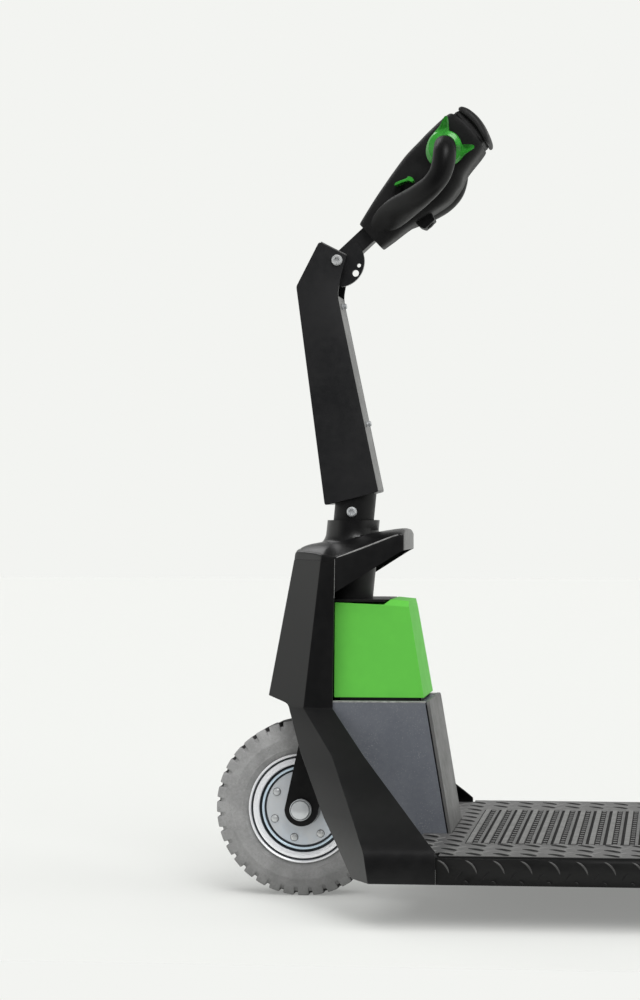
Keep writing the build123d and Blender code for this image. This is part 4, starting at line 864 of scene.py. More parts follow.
eye_radius, crown_half, crown_height, crown_rise = 25, 34.0, 267.0, 19.0
leg_inner, leg_outer = 42.0, 51.0
crown_top = crown_height / np.cos(lean) + crown_rise
eye_end = arc(eye_radius, 180, 360) + (0.0, axle_height)
crown_ends = [on_column(across, crown_top) for across in (crown_half, -crown_half)]
leg_outline = np.concatenate([eye_end, crown_ends])
leg_levels = (("fork_leg_left", -leg_outer, -leg_inner), ("fork_leg_right", leg_inner, leg_outer))
for name, low, high in leg_levels:
    put(name + "_plate", prism(leg_outline, low, high), name, edge=1.4)

# %% [markdown]
# The fairing is a moulded shell in two halves: a flat front, an angled face and a side that flares
# out over the wheel down to the platform. Each half is a grid: at every height three lines of the
# shell, front edge, crease and rear edge, are read from tables, and the columns run between them.
# Solidify gives the wall its thickness.

# %% Fairing halves
front_edge = np.array([
    (498.0, -13.5, 30.5), (297.0, -50.9, 35.2), (290.0, -27.0, 55.6), (288.2, -21.8, 59.9),
    (286.0, -18.4, 63.0), (282.0, -15.9, 66.0), (276.0, -13.7, 70.0), (222.0, 8.0, 110.0),
    (139.0, 56.0, 200.0), (107.0, 78.0, 230.0), (63.0, 103.5, 257.0),
])
crease_line = np.array([
    (498.0, 33.5, 78.0), (283.0, 9.0, 85.0), (222.0, 62.0, 160.0), (139.0, 108.0, 261.0),
    (118.0, 119.2, 286.6), (110.0, 123.2, 293.6), (102.0, 126.0, 297.9), (92.0, 127.6, 299.8),
    (82.0, 129.0, 300.0), (63.0, 132.0, 300.0),
])
rear_edge = np.array([
    (498.0, 54.0, 80.0), (283.0, 52.0, 87.0), (222.0, 108.0, 160.0), (139.0, 192.0, 261.0),
    (118.0, 213.2, 286.6), (110.0, 221.2, 293.6), (107.0, 224.2, 295.6), (102.0, 224.2, 297.9),
    (92.0, 224.2, 299.8), (82.0, 224.2, 300.0), (63.0, 224.2, 300.0),
])
shell_heights = np.concatenate([
    np.linspace(498, 302, 9), [297, 293.5, 290, 288.2, 286, 283, 282, 276, 262, 242],
    np.linspace(222, 145, 6), [139, 128, 118, 110, 107, 102, 92, 82, 63],
])


def at_height(table, heights):
    """Plan points of an edge at given heights, by straight lines between its rows."""
    return np.stack(looked_up(table[::-1], heights, 1, 2), axis=-1)


def strip(first, second, columns):
    """Points spread evenly between two edges, one row for each height."""
    return part_way(first[:, None], second[:, None], np.linspace(0, 1, columns)[None, :, None])


front_plan, crease_plan, rear_plan = (
    at_height(table, shell_heights) for table in (front_edge, crease_line, rear_edge)
)
shell_plan = np.concatenate(
    [strip(front_plan, crease_plan, 9), strip(crease_plan, rear_plan, 6)[:, 1:]], axis=1
)
panel = raised(shell_plan, shell_heights[:, None])
nose_foot = 297.0
nose_front = panel[shell_heights >= nose_foot][:, 0]
nose = np.stack([nose_front * (1, share, 1) for share in (0.005, 0.35, 0.7, 1.0)], axis=1)
half_shell = joined(gridded(panel), gridded(nose))
for side, name in ((-1, "fairing_left"), (1, "fairing_right")):
    put(name + "_shell", sided(half_shell, side), name, wall=2.6, rim=0.8, facing=(-0.6, side, 0.2))

# %% [markdown]
# The hood closes the fairing and carries a collar round the steering column, with a visor to the
# rear. Its top flows up into the collar like poured wax. A box with a fillet would look stiff, so a
# polar grid is used: columns run from the collar to each point of the hood's outline, and the
# height is the greater of the hood's roof and the collar's flare, softly blended. Thin pale tubes
# along the visor's top edges and down the fairing's rear edge are a painted highlight where those
# edges catch the light.

# %% Hood
hood_half = np.array([(-13.4, 30.4), (33.6, 77.9), (54.4, 80.0), (148.0, 66.0), (154.0, 65.0)])
corner_round = np.array([1.8, 1.8, 1.5, 1.0, 2.0])
hood_outline = rounded(
    np.concatenate([hood_half * (1, -1), hood_half[::-1]]),
    np.concatenate([corner_round, corner_round[::-1]]),
    4,
)
hood_next = np.roll(hood_outline, -1, axis=0)
hood_share = np.linspace(0, 1, 6, endpoint=False)[None, :, None]
hood_ring = part_way(hood_outline[:, None], hood_next[:, None], hood_share).reshape(-1, 2)
roof_knots = np.array([
    (-13.4, 503.0, 504.4, 30.4, 6.0), (-9.0, 506.4, 511.5, 33.6, 8.0), (-4.0, 507.4, 516.0, 38.8, 10.0),
    (9.0, 506.0, 520.5, 52.2, 13.0), (34.0, 502.8, 525.0, 78.0, 18.0), (55.0, 501.8, 528.5, 80.0, 20.0),
    (100.0, 518.6, 537.0, 73.0, 22.0), (147.0, 536.2, 544.0, 66.0, 26.0),
    (154.0, 529.0, 535.0, 64.0, 26.0),
])
roof_line = smooth_line(roof_knots, 8)


def roof(x, y):
    """Height of the hood: a crown that falls to the side by the square of the way there."""
    side, crown, half, flat = looked_up(roof_line, x, 1, 2, 3, 4)
    down = np.clip((np.abs(y) - flat) / (half - flat), 0, 1)
    return crown - (crown - side) * down**2


collar_radius, collar_foot = 39.0, 541.0
flare_size, flare_stretch, blend_width = 22.0, 1.1, 26.0
centre = np.array([column_x(collar_foot), 0.0])
ray = hood_ring - centre
ray_length = np.linalg.norm(ray, axis=1)
ray_unit = ray / ray_length[:, None]


def on_rays(reach):
    """Plan points at a reach from the collar's middle, one on each ray to the outline."""
    return ray_unit[None] * reach[..., None] + centre


collar_rows = np.stack([
    raised(collar_radius * ray_unit + (column_x(z), 0.0), z) for z in (556.0, 552.0, 546.0)
])
edge_round = np.interp(hood_ring[:, 0], [-6.0, 34.0, 50.0], [5.0, 4.0, 2.8])
edge_length = ray_length - np.interp(hood_ring[:, 0], [30.0, 50.0], [0.9, 0.0])
flow = np.linspace(0, 1, 22)[:, None]
reach = collar_radius + (edge_length[None] - edge_round[None] - collar_radius) * flow**1.25
roof_xy = on_rays(reach)
roof_z = roof(roof_xy[..., 0], roof_xy[..., 1])
off_collar = reach - collar_radius
flare_drop = np.sqrt(np.clip(2 * flare_size * off_collar - off_collar**2, 0, flare_size**2))
flare = collar_foot - flare_stretch * flare_drop
top_z = np.maximum(roof_z, part_way(flare, roof_z, eased(off_collar / blend_width)))
roof_rows = raised(roof_xy, top_z)
round_turn = np.radians([22.0, 45.0, 67.0, 90.0])[:, None]
round_reach = edge_length[None] - edge_round[None] * (1 - np.sin(round_turn))
round_z = top_z[-1][None] - edge_round[None] * (1 - np.cos(round_turn))
round_rows = raised(on_rays(round_reach), round_z)
edge_row = round_rows[-1]
skirt_low = np.interp(
    edge_row[:, 0], [-13.4, 53.4, 54.4, 147.0, 154.0], [498.1, 498.1, 451.0, 509.0, 512.5]
)
skirt_end = raised(hood_ring, skirt_low)
skirt_rows = part_way(edge_row[None], skirt_end[None], np.linspace(0, 1, 4)[1:, None, None])
hood_shape = loft(np.concatenate([collar_rows, roof_rows, round_rows, skirt_rows]), caps=False)
put("hood_moulding", hood_shape, "hood", wall=3.0, rim=0.35, facing=(0, 0, 1), smooth=50.0)
bead_start, bead_end, bead_points = 57.0, 146.0, 24
bead_x = np.linspace(bead_start, bead_end, bead_points)
bead_y = 79.1 - (bead_x - bead_start) * 14.0 / 93.6
bead_z = roof(bead_x, bead_y) - 0.8
bead_size = 1.25 - 0.6 * np.abs(np.linspace(-1.0, 1.0, bead_points)) ** 3
visor_lines = [on_level(bead_x, side * bead_y, bead_z) for side in (-1, 1)]
seam_z = np.linspace(500.0, 443.0, 10)
seam_xy = at_height(rear_edge, seam_z) + (0.3, 0.1)
seam_size = np.full(len(seam_z), 0.28)
seam_lines = [raised(seam_xy * (1, side), seam_z) for side in (-1, 1)]
highlight_beads = [tube(line, bead_size, bead_size, (0, 0, 1), 12) for line in visor_lines]
highlight_beads += [tube(line, seam_size, seam_size, (1, 0, 0), 8) for line in seam_lines]
put("visor_beads", joined(*highlight_beads), slot="hood_black", look="edge_grey", body="chassis", smooth=60.0)

# %% [markdown]
# The tiller arm is folded from steel sheet into a channel that is open to the rear. Its side outline
# has seven corners. The two sides, the front and the foot are flat sheets, so a few large faces with
# Solidify and Bevel give the crisp folded edges that catch the light.

# %% Tiller arm
arm_half = 34.0
arm_corners = np.array([
    (24.0, 968.0), (65.0, 947.0), (57.0, 920.0), (51.5, 888.5), (112.6, 598.0), (32.5, 578.0),
    (-10.0, 902.0),
])
arm_outline = rounded(arm_corners, [4.0, 3.0, 10.0, 10.0, 3.0, 4.0, 3.0], 5)
count = len(arm_outline)
arm_sides = [
    on_side(arm_outline[:, 0], arm_outline[:, 1], np.full(count, out)) for out in (-arm_half, arm_half)
]
fold_start, fold_end = 20, 37
bend = np.arange(fold_start, fold_end) % count
fold = np.stack([bend[:-1], bend[1:], bend[1:] + count, bend[:-1] + count], axis=1)
cap = np.arange(count)[None]
channel = (np.concatenate(arm_sides), [cap, cap + count, fold])
put("tiller_channel", channel, "tiller_arm", wall=3.0, edge=1.5, rim=1.3, facing=(-1, 0, 0))

# %% [markdown]
# A grey strip closes the rear of the channel, held by two pan-head screws, and a short one caps its
# top. The strips are thin solids with broken edges, and the screws are turned domes with a socket.

# %% Arm cover
rear_foot = arm_corners[4]
rear_run = arm_corners[3] - rear_foot
rear_length = np.linalg.norm(rear_run)
up_rear = rear_run / rear_length
out_rear = np.array([up_rear[1], -up_rear[0]])


def on_rear(along, out):
    """Side-view point along the arm's rear edge and out from it."""
    return rear_foot + np.multiply.outer(along, up_rear) + np.multiply.outer(out, out_rear)


cover_start, cover_wall, cover_half = 2, 3, 30.6
cover_outline = on_rear(*rectangle(cover_start, rear_length, -cover_wall, 0).T)
put("arm_cover_strip", prism(cover_outline, -cover_half, cover_half), "arm_cover", edge=0.8)
arm_top, arm_brow = arm_corners[0], arm_corners[1]
along_top = unit(arm_brow - arm_top)
off_top = np.array([-along_top[1], along_top[0]])
sunk, proud, strip_half = off_top * 0.4, off_top * 1.9, 32.0
strip_start = arm_top + along_top * 2.5
strip_end = arm_brow - along_top * 2.0
top_outline = np.stack([strip_start - sunk, strip_end - sunk, strip_end + proud, strip_start + proud])
top_strip = prism(top_outline, -strip_half, strip_half)
put("arm_top_strip", top_strip, slot="arm_grey", body="steering", edge=0.7)
screw = bolt(head=4.0, height=6.4, washer=4.5, shank=(2.0, 8.0), socket=1.6)
screw_spots = [on_rear(height, 0.0) for height in (103.0, 282.0)]
screw_set = [aimed(screw, (x, 0.0, z), (out_rear[0], 0.0, out_rear[1])) for x, z in screw_spots]
put("arm_cover_screw_pair", joined(*screw_set), "arm_cover_screws", smooth=30.0)

# %% [markdown]
# Two plated bolts hold the tiller: one crosses the sleeve, one is the head's hinge. Each has a
# round socket head on the driver's left and a hexagon nut on the right. The rim's bolt serves again
# for both ends, once with a socket and once without.

# %% Tiller bolts
cross_height = 568.5
cross_spot = np.array([column_x(cross_height), 0.0, cross_height])
bolt_parts = []
for spot, half_span, shank, head in ((cross_spot, 30.0, 4.0, 7.5), (pivot, 34.0, 5.0, 8.0)):
    cap_bolt = bolt(head - 1.0, height=5.0, washer=head, shank=(shank, half_span), socket=3.4)
    nut = bolt(head - 1.2, height=5.0, washer=head, shank=(shank, half_span))
    bolt_parts += [aimed(cap_bolt, spot - (0, half_span, 0), (0, -1, 0)),
                   aimed(nut, spot + (0, half_span, 0), (0, 1, 0))]
put("tiller_bolt_pair", joined(*bolt_parts), "tiller_bolts", smooth=30.0)

# %% [markdown]
# The neck is a flat steel bar with a round eye on the hinge bolt. It is drawn in the head's own
# axes: along the neck and over it.

# %% Neck bar
neck_eye, neck_half, neck_end, neck_out = 15, 13.0, 74.0, 12.0
neck_corners = [(neck_end, -neck_half), (neck_end, neck_half)]
neck_outline = np.concatenate([arc(neck_eye, 60, 300), neck_corners])
put("neck_flat_bar", prism(neck_outline, -neck_out, neck_out, on_head), "neck_bar", edge=1.6)

# %% [markdown]
# The tiller head is a clam shell of black plastic that widens towards the belly pad. Its section is
# a superellipse, between an oval and a box, whose sizes change smoothly along the neck, and its end
# bows out behind the pad. The split line sets where the upper and the lower shell begin.

# %% Head shells
head_knots = np.array([
    (60.0, -30.0, 20.5, 27.0), (82.0, -32.5, 26.5, 30.0), (105.0, -34.5, 32.3, 33.0),
    (128.0, -38.5, 37.4, 34.6), (150.0, -43.0, 42.0, 36.0), (180.0, -47.5, 47.0, 38.0),
    (208.0, -42.5, 48.0, 42.0), (225.0, -35.0, 48.4, 45.0), (255.0, -29.5, 47.8, 46.0),
    (267.0, -26.5, 46.0, 45.4),
])
head_line = smooth_line(head_knots, 7)
head_start, head_end = head_knots[0, 0], head_knots[-1, 0]
ease = np.array([[0.0, 0.965], [0.9, 0.988], [2.6, 1.0]])
head_u = np.concatenate([head_start + ease[:, 0], head_line[4:-4, 0], head_end - ease[::-1, 0]])
pull = np.concatenate([ease[:, 1], np.ones(len(head_line) - 8), ease[::-1, 1]])
low, high, half = looked_up(head_line, head_u, 1, 2, 3)
middle = (low + high) / 2
tall = (high - low) / 2 * pull
half = half * pull
power = np.interp(head_u, [head_start, 215.0, 262.0], [3.6, 4.2, 5.0])
bow_start, end_bow = 228.0, 9.0


def dent(along, over, spot, spread, depth):
    """A soft hollow: a depth that fades like a bell along the neck and over it."""
    gap_along = (along - spot[0]) / spread[0]
    gap_over = (over - spot[1]) / spread[1]
    return depth * np.exp(-(gap_along**2) - gap_over**2)


def shell_rings(split, upper):
    """Section points of one shell: angles from the split on one side round to the other."""
    lift = (split - middle) / tall
    start = np.arcsin(np.sign(lift) * np.abs(lift) ** (power / 2))
    sweep = np.linspace(0, 1, 50)[None]
    first, last = (start, np.pi - start) if upper else (np.pi - start, 2 * np.pi + start)
    angle = part_way(first[:, None], last[:, None], sweep)
    cosine, sine = np.cos(angle), np.sin(angle)
    bend = 2 / power[:, None]
    out = half[:, None] * np.sign(cosine) * np.abs(cosine) ** bend
    over = middle[:, None] + tall[:, None] * np.sign(sine) * np.abs(sine) ** bend
    along = np.broadcast_to(head_u[:, None], out.shape)
    hollow = dent(along, over, (140.0, 9.0), (9.0, 5.0), 7.0)
    waist = dent(along, over, (188.0, 22.0), (14.0, 12.0), 3.0)
    out = np.sign(out) * np.maximum(np.abs(out) - hollow - waist, 0.0)
    near_end = np.clip((head_u - bow_start) / (head_end - bow_start), 0, 1)[:, None] ** 2
    along = along + end_bow * near_end * (1 - ((over - 8.0) / 43.0) ** 2)
    return on_head(along, over, out)


put("head_upper_moulding", loft(shell_rings(2.04, True), rungs=True), "head_upper_shell", smooth=40.0)
put("head_lower_moulding", loft(shell_rings(1.96, False), rungs=True), "head_lower_shell", smooth=40.0)

# %% [markdown]
# Each grip leaves the head as a broad root, narrows to a round bar, swings out and comes back to the
# throttle's axle. A tube with a changing oval section along one smooth curve follows the hand.

# %% Grips
grip_knots = np.array([
    (66.0, -3.0, 14.0, 11.0, 14.0), (80.0, -4.0, 21.0, 11.5, 17.0), (94.0, -6.0, 29.0, 12.5, 20.0),
    (108.0, -8.5, 38.5, 14.0, 21.4), (121.0, -12.0, 50.0, 15.4, 21.0), (136.0, -17.0, 64.5, 16.4, 19.6),
    (154.0, -22.0, 80.5, 16.8, 17.8),
    (175.0, -25.5, 95.0, 16.2, 16.2), (195.0, -23.0, 101.0, 16.2, 16.2), (211.0, -14.0, 101.5, 16.8, 16.8),
    (222.0, -4.0, 97.5, 16.8, 16.8), (228.0, 3.2, 87.5, 16.0, 16.0), (229.0, 7.8, 75.0, 14.8, 14.8),
    (229.0, 9.0, 64.0, 13.8, 13.8),
])
grip_line = smooth_line(grip_knots, 9)
grip_along, grip_over, grip_out, grip_wide, grip_tall = grip_line.T
for side, name in ((-1, "grip_left"), (1, "grip_right")):
    line = on_head(grip_along, grip_over, side * grip_out)
    put(name + "_loop", tube(line, grip_wide, grip_tall, neck, 40), name, smooth=60.0)

# %% [markdown]
# The butterfly is the throttle: a green hub ring in a crescent whose two horns the thumbs push either
# way. Its outline in polar form is a circle that is smaller towards the pad, with two narrow peaks.
# Rings from the bore to that outline, forward on the face and back on the rear, close the shape.

# %% Butterfly throttles
throttle_along, throttle_over = 229.0, 9.0
hub_edge, horn_tip, wing_face, wing_back = 24.5, 44.0, 54.2, 46.4
turn_steps = np.concatenate([
    np.linspace(start, stop, steps, endpoint=False)
    for start, stop, steps in ((-180, -66, 28), (-66, -38, 28), (-38, 38, 36), (38, 66, 28), (66, 180, 28))
])
angle = np.radians(turn_steps)
horn_gap = np.abs(turn_steps) - 46.0
horn = np.where(
    horn_gap > 0,
    np.exp(-((np.maximum(horn_gap, 0.0) / 14.0) ** 1.3)),
    np.exp(-((np.minimum(horn_gap, 0.0) / 9.0) ** 4)),
)
plate = 24.8 + 3.0 * eased(horn_gap / 25.0) + 3.4 * eased((horn_gap - 70.0) / 64.0)
tip = plate + (horn_tip - plate) * horn
left_share = np.clip(horn_gap / 44.0, 0, 1)
share = np.array([0.0, 0.2, 0.45, 0.7, 0.9, 1.0])
hub_r = np.array([8.3, 15.4, 16.8, 18.6, 20.8, 23.2, 24.4])
ring_y = np.array([59.6, 62.6, 63.2, 62.4, 61.2, 59.9, wing_face])
flat_y = np.array([59.6, 59.0, 58.2, 57.2, 56.0, 54.8, wing_face])
ring_share = 1 - eased((np.abs(turn_steps) - 34.0) / 28.0)
horn_rise = 11.0 * share**1.4 - 3.4 * np.sin(np.pi * np.clip(share / 0.7, 0, 1))
face_r = np.concatenate([
    np.repeat(hub_r[:, None], len(angle), axis=1), hub_edge + (tip - hub_edge) * share[:, None],
])
face_y = np.concatenate([
    flat_y[:, None] + (ring_y - flat_y)[:, None] * ring_share,
    wing_face + horn * horn_rise[:, None] - 7.4 * left_share * (1 - horn) * share[:, None],
])
back_r = face_r[::-1] * np.linspace(0.995, 1.0, len(face_r))[:, None]
back_y = np.full_like(face_y, wing_back)
back_y[:6] = np.clip(face_y[::-1][:6] - 2.6, wing_back, None)
wing_r = np.concatenate([face_r, back_r])
wing_y = np.concatenate([face_y, back_y])
wing_along = throttle_along + wing_r * np.cos(angle)
wing_over = throttle_over + wing_r * np.sin(angle)
for side, name in ((-1, "butterfly_left"), (1, "butterfly_right")):
    wing = gridded(on_head(wing_along, wing_over, side * wing_y), True, True)
    put(name + "_wing", wing, name, smooth=42.0)

# %% [markdown]
# The belly pad reverses the tug if it meets the driver. It is a curved plate of firm grey rubber
# with rounded ends. A cloth simulation suits stuffed pads, not a moulded one, so a closed outline
# in the head's axes is drawn in towards both sides, which rounds the plate's edges. A black boot
# behind it hides its plungers.

# %% Belly pad
pad_outline = smooth_line(
    np.array([
        (284.4, 42.4), (287.2, 41.8), (290.4, 38.8), (294.4, 30.0), (296.4, 15.0), (295.0, 0.0),
        (290.8, -14.0), (286.6, -23.4), (282.6, -27.4), (279.4, -27.0), (278.4, -24.0), (281.0, -15.0),
        (283.4, -2.0), (284.0, 12.0), (283.4, 23.0), (282.2, 32.0), (281.4, 37.6), (282.2, 40.8),
        (284.4, 42.4),
    ]),
    4,
)[:-1]
pad_half = 44.0
pad_y = pad_half * np.sin(np.radians(np.linspace(-90, 90, 31)))
pad_close = (1 - np.abs(pad_y / pad_half) ** 7) ** 0.28
pad_middle = np.array([287.0, 10.0])
pad_bow = 1.5 * (pad_y / pad_half) ** 2
pad_u = pad_middle[0] + (pad_outline[None, :, 0] - pad_middle[0]) * pad_close[:, None] - pad_bow[:, None]
pad_n = pad_middle[1] + (pad_outline[None, :, 1] - pad_middle[1]) * pad_close[:, None] ** 0.6
pad_rings = on_head(pad_u, pad_n, pad_y[:, None])
pad_piece = put("belly_pad_plate", loft(pad_rings), "belly_pad", smooth=50.0)
boot_corner = rounded(rectangle(-41.0, 41.0, -22.0, 40.0), 9.0, 6)
boot_u = np.array([262.0, 272.0, 273.5, 275.0, 284.0])
boot_size = np.array([0.95, 1.0, 0.98, 1.0, 0.92])
boot_rings = on_head(
    boot_u[:, None],
    pad_middle[1] + (boot_corner[None, :, 1] - pad_middle[1]) * boot_size[:, None],
    boot_corner[None, :, 0] * boot_size[:, None],
)
put("belly_pad_boot", loft(boot_rings), slot="head_black", body="belly_switch", edge=0.8)

# %% [markdown]
# Small green rockers on both flanks set speed and direction, and a block under the head holds the
# horn button. Outlines in the head's axes with broken edges are enough for parts this small.

# %% Rockers and horn
rocker_outline = rounded(
    [(136.5, 19.6), (140.5, 21.6), (150.0, 18.0), (157.5, 14.6), (161.0, 15.6), (164.0, 9.6), (162.6, 4.6),
     (158.6, 6.0), (156.6, 11.0), (147.2, 15.4), (138.5, 18.4)],
    1.6,
    3,
)
lever_root, lever_end, block_half = 26.0, 52.0, 15.0
for name, low, high in (("rocker_left", -lever_end, -lever_root), ("rocker_right", lever_root, lever_end)):
    put(name + "_lever", prism(rocker_outline, low, high, on_head), name, edge=0.5)
block_outline = rounded(
    [(122.5, -45.0), (126.5, -52.5), (146.5, -52.5), (149.5, -42.0), (149.5, -32.0), (122.5, -32.0)],
    1.6,
    3,
)
block = prism(block_outline, -block_half, block_half, on_head)
put("horn_block_housing", block, "horn_block", edge=1.2)
button_profile = [(0, -2.0), (6.0, -2.0), (6.0, 3.6), (5.2, 4.4), (3.0, 4.2), (0, 4.1)]
button_spot = pivot + 136.0 * neck - 50.0 * over_neck
put("horn_button_cap", turned(button_profile, button_spot, -over_neck, 40), "horn_button", smooth=40.0)

# %% [markdown]
# The battery cassette lifts out. It is a tapered green moulding with a notch that clears the
# steering column, level shoulders beside the notch and a raised lid behind it. Plan outlines joined
# by flat walls make case and lid, and a Bevel rounds every edge. A black guard plate lies round the
# column, and two rails carry the foot.

# %% Battery case
case_front, case_foot, notch_end, notch_side = 51.0, 297.0, 122.0, 46.0


def cassette(rear, half):
    """Plan outline of the cassette: a rectangle with a notch towards the column."""
    return np.array([
        (case_front, -half), (rear, -half), (rear, half), (case_front, half), (case_front, notch_side),
        (notch_end, notch_side), (notch_end, -notch_side), (case_front, -notch_side),
    ])


foot_plan = cassette(183.4, 64.0)
shoulder_plan = cassette(160.6, 56.3)
crown_plan = cassette(159.8, 55.2)
shoulder_z, crown_z = (
    np.interp(plan[:, 0], [case_front, notch_end, 160.6], [435.0 + lift, 432.6 + lift, 430.0 + lift])
    for plan, lift in ((shoulder_plan, 0.0), (crown_plan, 0.6))
)
case_levels = ((foot_plan, case_foot), (shoulder_plan, shoulder_z), (crown_plan, crown_z))
case_rings = np.stack([raised(plan, height) for plan, height in case_levels])
lid_corner = rectangle(0.0, 1.0, -1.0, 1.0)
lid_foot = lid_corner * (37.9, 56.0) + (122.5, 0.0)
lid_top = lid_corner * (26.4, 48.5) + (133.0, 0.0)
lid_rings = np.stack([
    raised(lid_foot, 432.0 - 2.0 * lid_corner[:, 0]), raised(lid_top, 440.4 - 2.6 * lid_corner[:, 0]),
])
put("battery_cassette", joined(loft(case_rings), loft(lid_rings)), "battery_case", edge=1.0)
guard_way = arc(1.0, 0, 355, 72)
guard_ahead, guard_aside, guard_low, guard_high = 42.0, 54.6, 436.4, 440.2


def guard_edge(rear):
    """Reach of the guard's edge round the column: a rectangle in polar form, with its rear side given."""
    cosine, sine = guard_way.T
    along = np.where(cosine > 0, rear, guard_ahead) / np.maximum(np.abs(cosine), 1e-6)
    return np.minimum(along, guard_aside / np.maximum(np.abs(sine), 1e-6))


guard_middle = (column_x(438.0), 0.0)
guard_bore = np.full(len(guard_way), 39.7)
guard_rows = [
    (guard_bore, guard_low), (guard_edge(67.0), guard_low), (guard_edge(71.8), guard_high),
    (guard_bore, guard_high),
]
guard_rings = np.stack([
    raised(guard_middle + reach[:, None] * guard_way, z) for reach, z in guard_rows
])
put("column_guard", gridded(guard_rings, True, True), slot="plastic_black", body="chassis", edge=0.8)
rail_plan = rounded(rectangle(60.0, 176.0, 50.0, 62.5), 2.0, 3)
rails = [prism(rail_plan * (1, side), 291.2, 296.8, on_level) for side in (-1, 1)]
put("battery_rails", joined(*rails), slot="plastic_black", body="chassis", edge=0.6)

# %% [markdown]
# The base box carries the battery and hides the electrics. Speckled paint covers its folded sides and
# lid, and a separate lighter cover closes its rear behind a dark seam. Flat solids with rounded
# corners make both.

# %% Base box
box_half, plate_inner, box_foot, box_top = 81.5, 77.5, 100.0, 291.0
side_plate = rounded(
    [(36.0, box_top), (187.0, box_top), (219.2, box_foot), (165.0, box_foot), (36.0, 283.0)],
    [1.0, 3.0, 1.0, 2.0, 2.0],
    4,
)
plate_levels = ((-box_half, -plate_inner), (plate_inner, box_half))
plates = [prism(side_plate, low, high) for low, high in plate_levels]
lid = prism(rectangle(112.0, 188.5, -plate_inner, plate_inner), 287.0, box_top, on_level)
well_outline = [
    (150.0, box_foot), (150.0, 160.0), (112.0, 262.0), (114.8, 263.0), (153.0, 161.0), (153.0, box_foot),
]
well = prism(well_outline, -plate_inner, plate_inner)
put("base_box_plates", joined(*plates, lid, well), "base_box", edge=1.0)
# Pale strips along the lid's side edges paint the highlight on the box's top edges.
highlight_brims = [
    prism(rectangle(50.0, 187.8, low, high), 290.6, 293.0, on_level)
    for low, high in ((-81.7, -70.0), (70.0, 81.7))
]
put("box_brims", joined(*highlight_brims), slot="box_grey", look="edge_grey", body="chassis", edge=0.7)
cover_plan = rounded(rectangle(-box_half, box_half, box_foot, 294.0), [1.0, 1.0, 9.0, 9.0], 6)
cover_x, cover_run, cover_sheet = 189.0, 32.0, 4.8


def on_cover(across, up, out):
    """Point of the sloped rear cover: across, up, and out from its front face."""
    slope = (box_top - up) / (box_top - box_foot) * cover_run
    return np.stack([cover_x + slope + out, across, up], axis=-1)


panel_shape = prism(cover_plan, 0.0, cover_sheet, on_cover)
put("box_rear_panel", panel_shape, "box_rear_cover", look="cover_grey", edge=1.6)

# %% [markdown]
# The platform tray is folded sheet with a rounded edge, and its skirt is embossed with slanted lens
# marks. The tray's section is carried along the platform, and the marks are one small lens repeated
# at an even pitch.

# %% Platform tray
deck_front, deck_rear, deck_half = 224.5, 900.5, 300.0
deck_top, skirt_foot = 100.0, 63.0
skirt_face = deck_half - 0.9
edge_inset = np.array([0.0, 0.0, 0.9, 3.0, 6.0])
edge_z = np.array([skirt_foot, 94.0, 97.4, 99.4, deck_top])
section_y = np.concatenate([edge_inset - skirt_face, (skirt_face - edge_inset)[::-1]])
section_z = np.concatenate([edge_z, edge_z[::-1]])
tray_x = np.array([deck_front, 450.0, 680.0, deck_rear - 6.0, deck_rear - 2.4, deck_rear - 0.8, deck_rear])
tray_drop = np.array([0.0, 0.0, 0.0, 0.0, 0.7, 2.2, 5.6])
tray_z = np.where(section_z > 90.0, section_z[None] - tray_drop[:, None], skirt_foot)
tray_grid = np.stack(np.broadcast_arrays(tray_x[:, None], section_y[None], tray_z), axis=-1)
rear_wall = np.stack([tray_grid[-1], tray_grid[-1] * (1, 1, 0) + (0, 0, skirt_foot)])
tray_shape = joined(gridded(tray_grid), gridded(rear_wall))
put("platform_tray", tray_shape, "deck_tray", wall=3.0, facing=(0, 0, 1), smooth=40.0)
nose_plate = prism(rectangle(160.0, deck_front, -295.7, 295.7), 97.0, deck_top, on_level)
put("platform_nose", nose_plate, slot="deck_black", body="chassis", edge=0.6)

# %% [markdown]
# A lens mark is a curved ridge, sharp at both ends. Its middle line is an arc, its width and height
# swell and fade along it, and five lines of points across it make the ridge.


# %% Lens marks
def lens_mark(length, width, height, bow, slant, rows=9):
    """Ridge in the skirt's plane: along an arc, with width and height that fade to both ends."""
    run = np.linspace(-1, 1, rows)[:, None]
    side = np.linspace(-1, 1, 5)[None]
    swell = np.sqrt(np.clip(1 - run**2, 0, 1))
    along = run * length / 2
    across = bow * (1 - run**2) + side * swell * width / 2
    out = height * swell * (1 - side**2) ** 0.7
    turn = np.radians(slant)
    flat = along * np.cos(turn) - across * np.sin(turn)
    up = along * np.sin(turn) + across * np.cos(turn)
    return gridded(np.stack([flat, -out, up], axis=-1))


tread_pitch = 37.7
mark_x = np.arange(235.0, deck_rear - 12.0, tread_pitch)
low_x = mark_x[:-1] + 0.56 * tread_pitch
third_x = mark_x + 31.0


def along_skirt(mark, xs, height):
    """A mark repeated on the near skirt at one height."""
    return repeated(mark, np.stack([xs, np.full_like(xs, -skirt_face), np.full_like(xs, height)], axis=-1))


bold_mark = lens_mark(length=25.0, width=2.8, height=0.8, bow=3.4, slant=-48.0)
bold_marks = along_skirt(bold_mark, mark_x, 88.0)
faint_marks = joined(
    along_skirt(lens_mark(17.0, 2.8, 0.5, 1.4, 52.0), low_x, 76.0),
    along_skirt(lens_mark(9.0, 2.6, 0.6, 0.8, -32.0), third_x, 67.0),
)
# The bold marks take the lighter black: a painted highlight on their ridges.
mark_sets = (("skirt_marks_", bold_marks, "deck_worn"), ("skirt_dents_", faint_marks, None))
for side, end in ((1, "left"), (-1, "right")):
    for name, marks, look in mark_sets:
        put(
            name + end, sided(marks, side), slot="deck_black", look=look, body="chassis", smooth=60.0,
            facing=(0, -side, 0),
        )

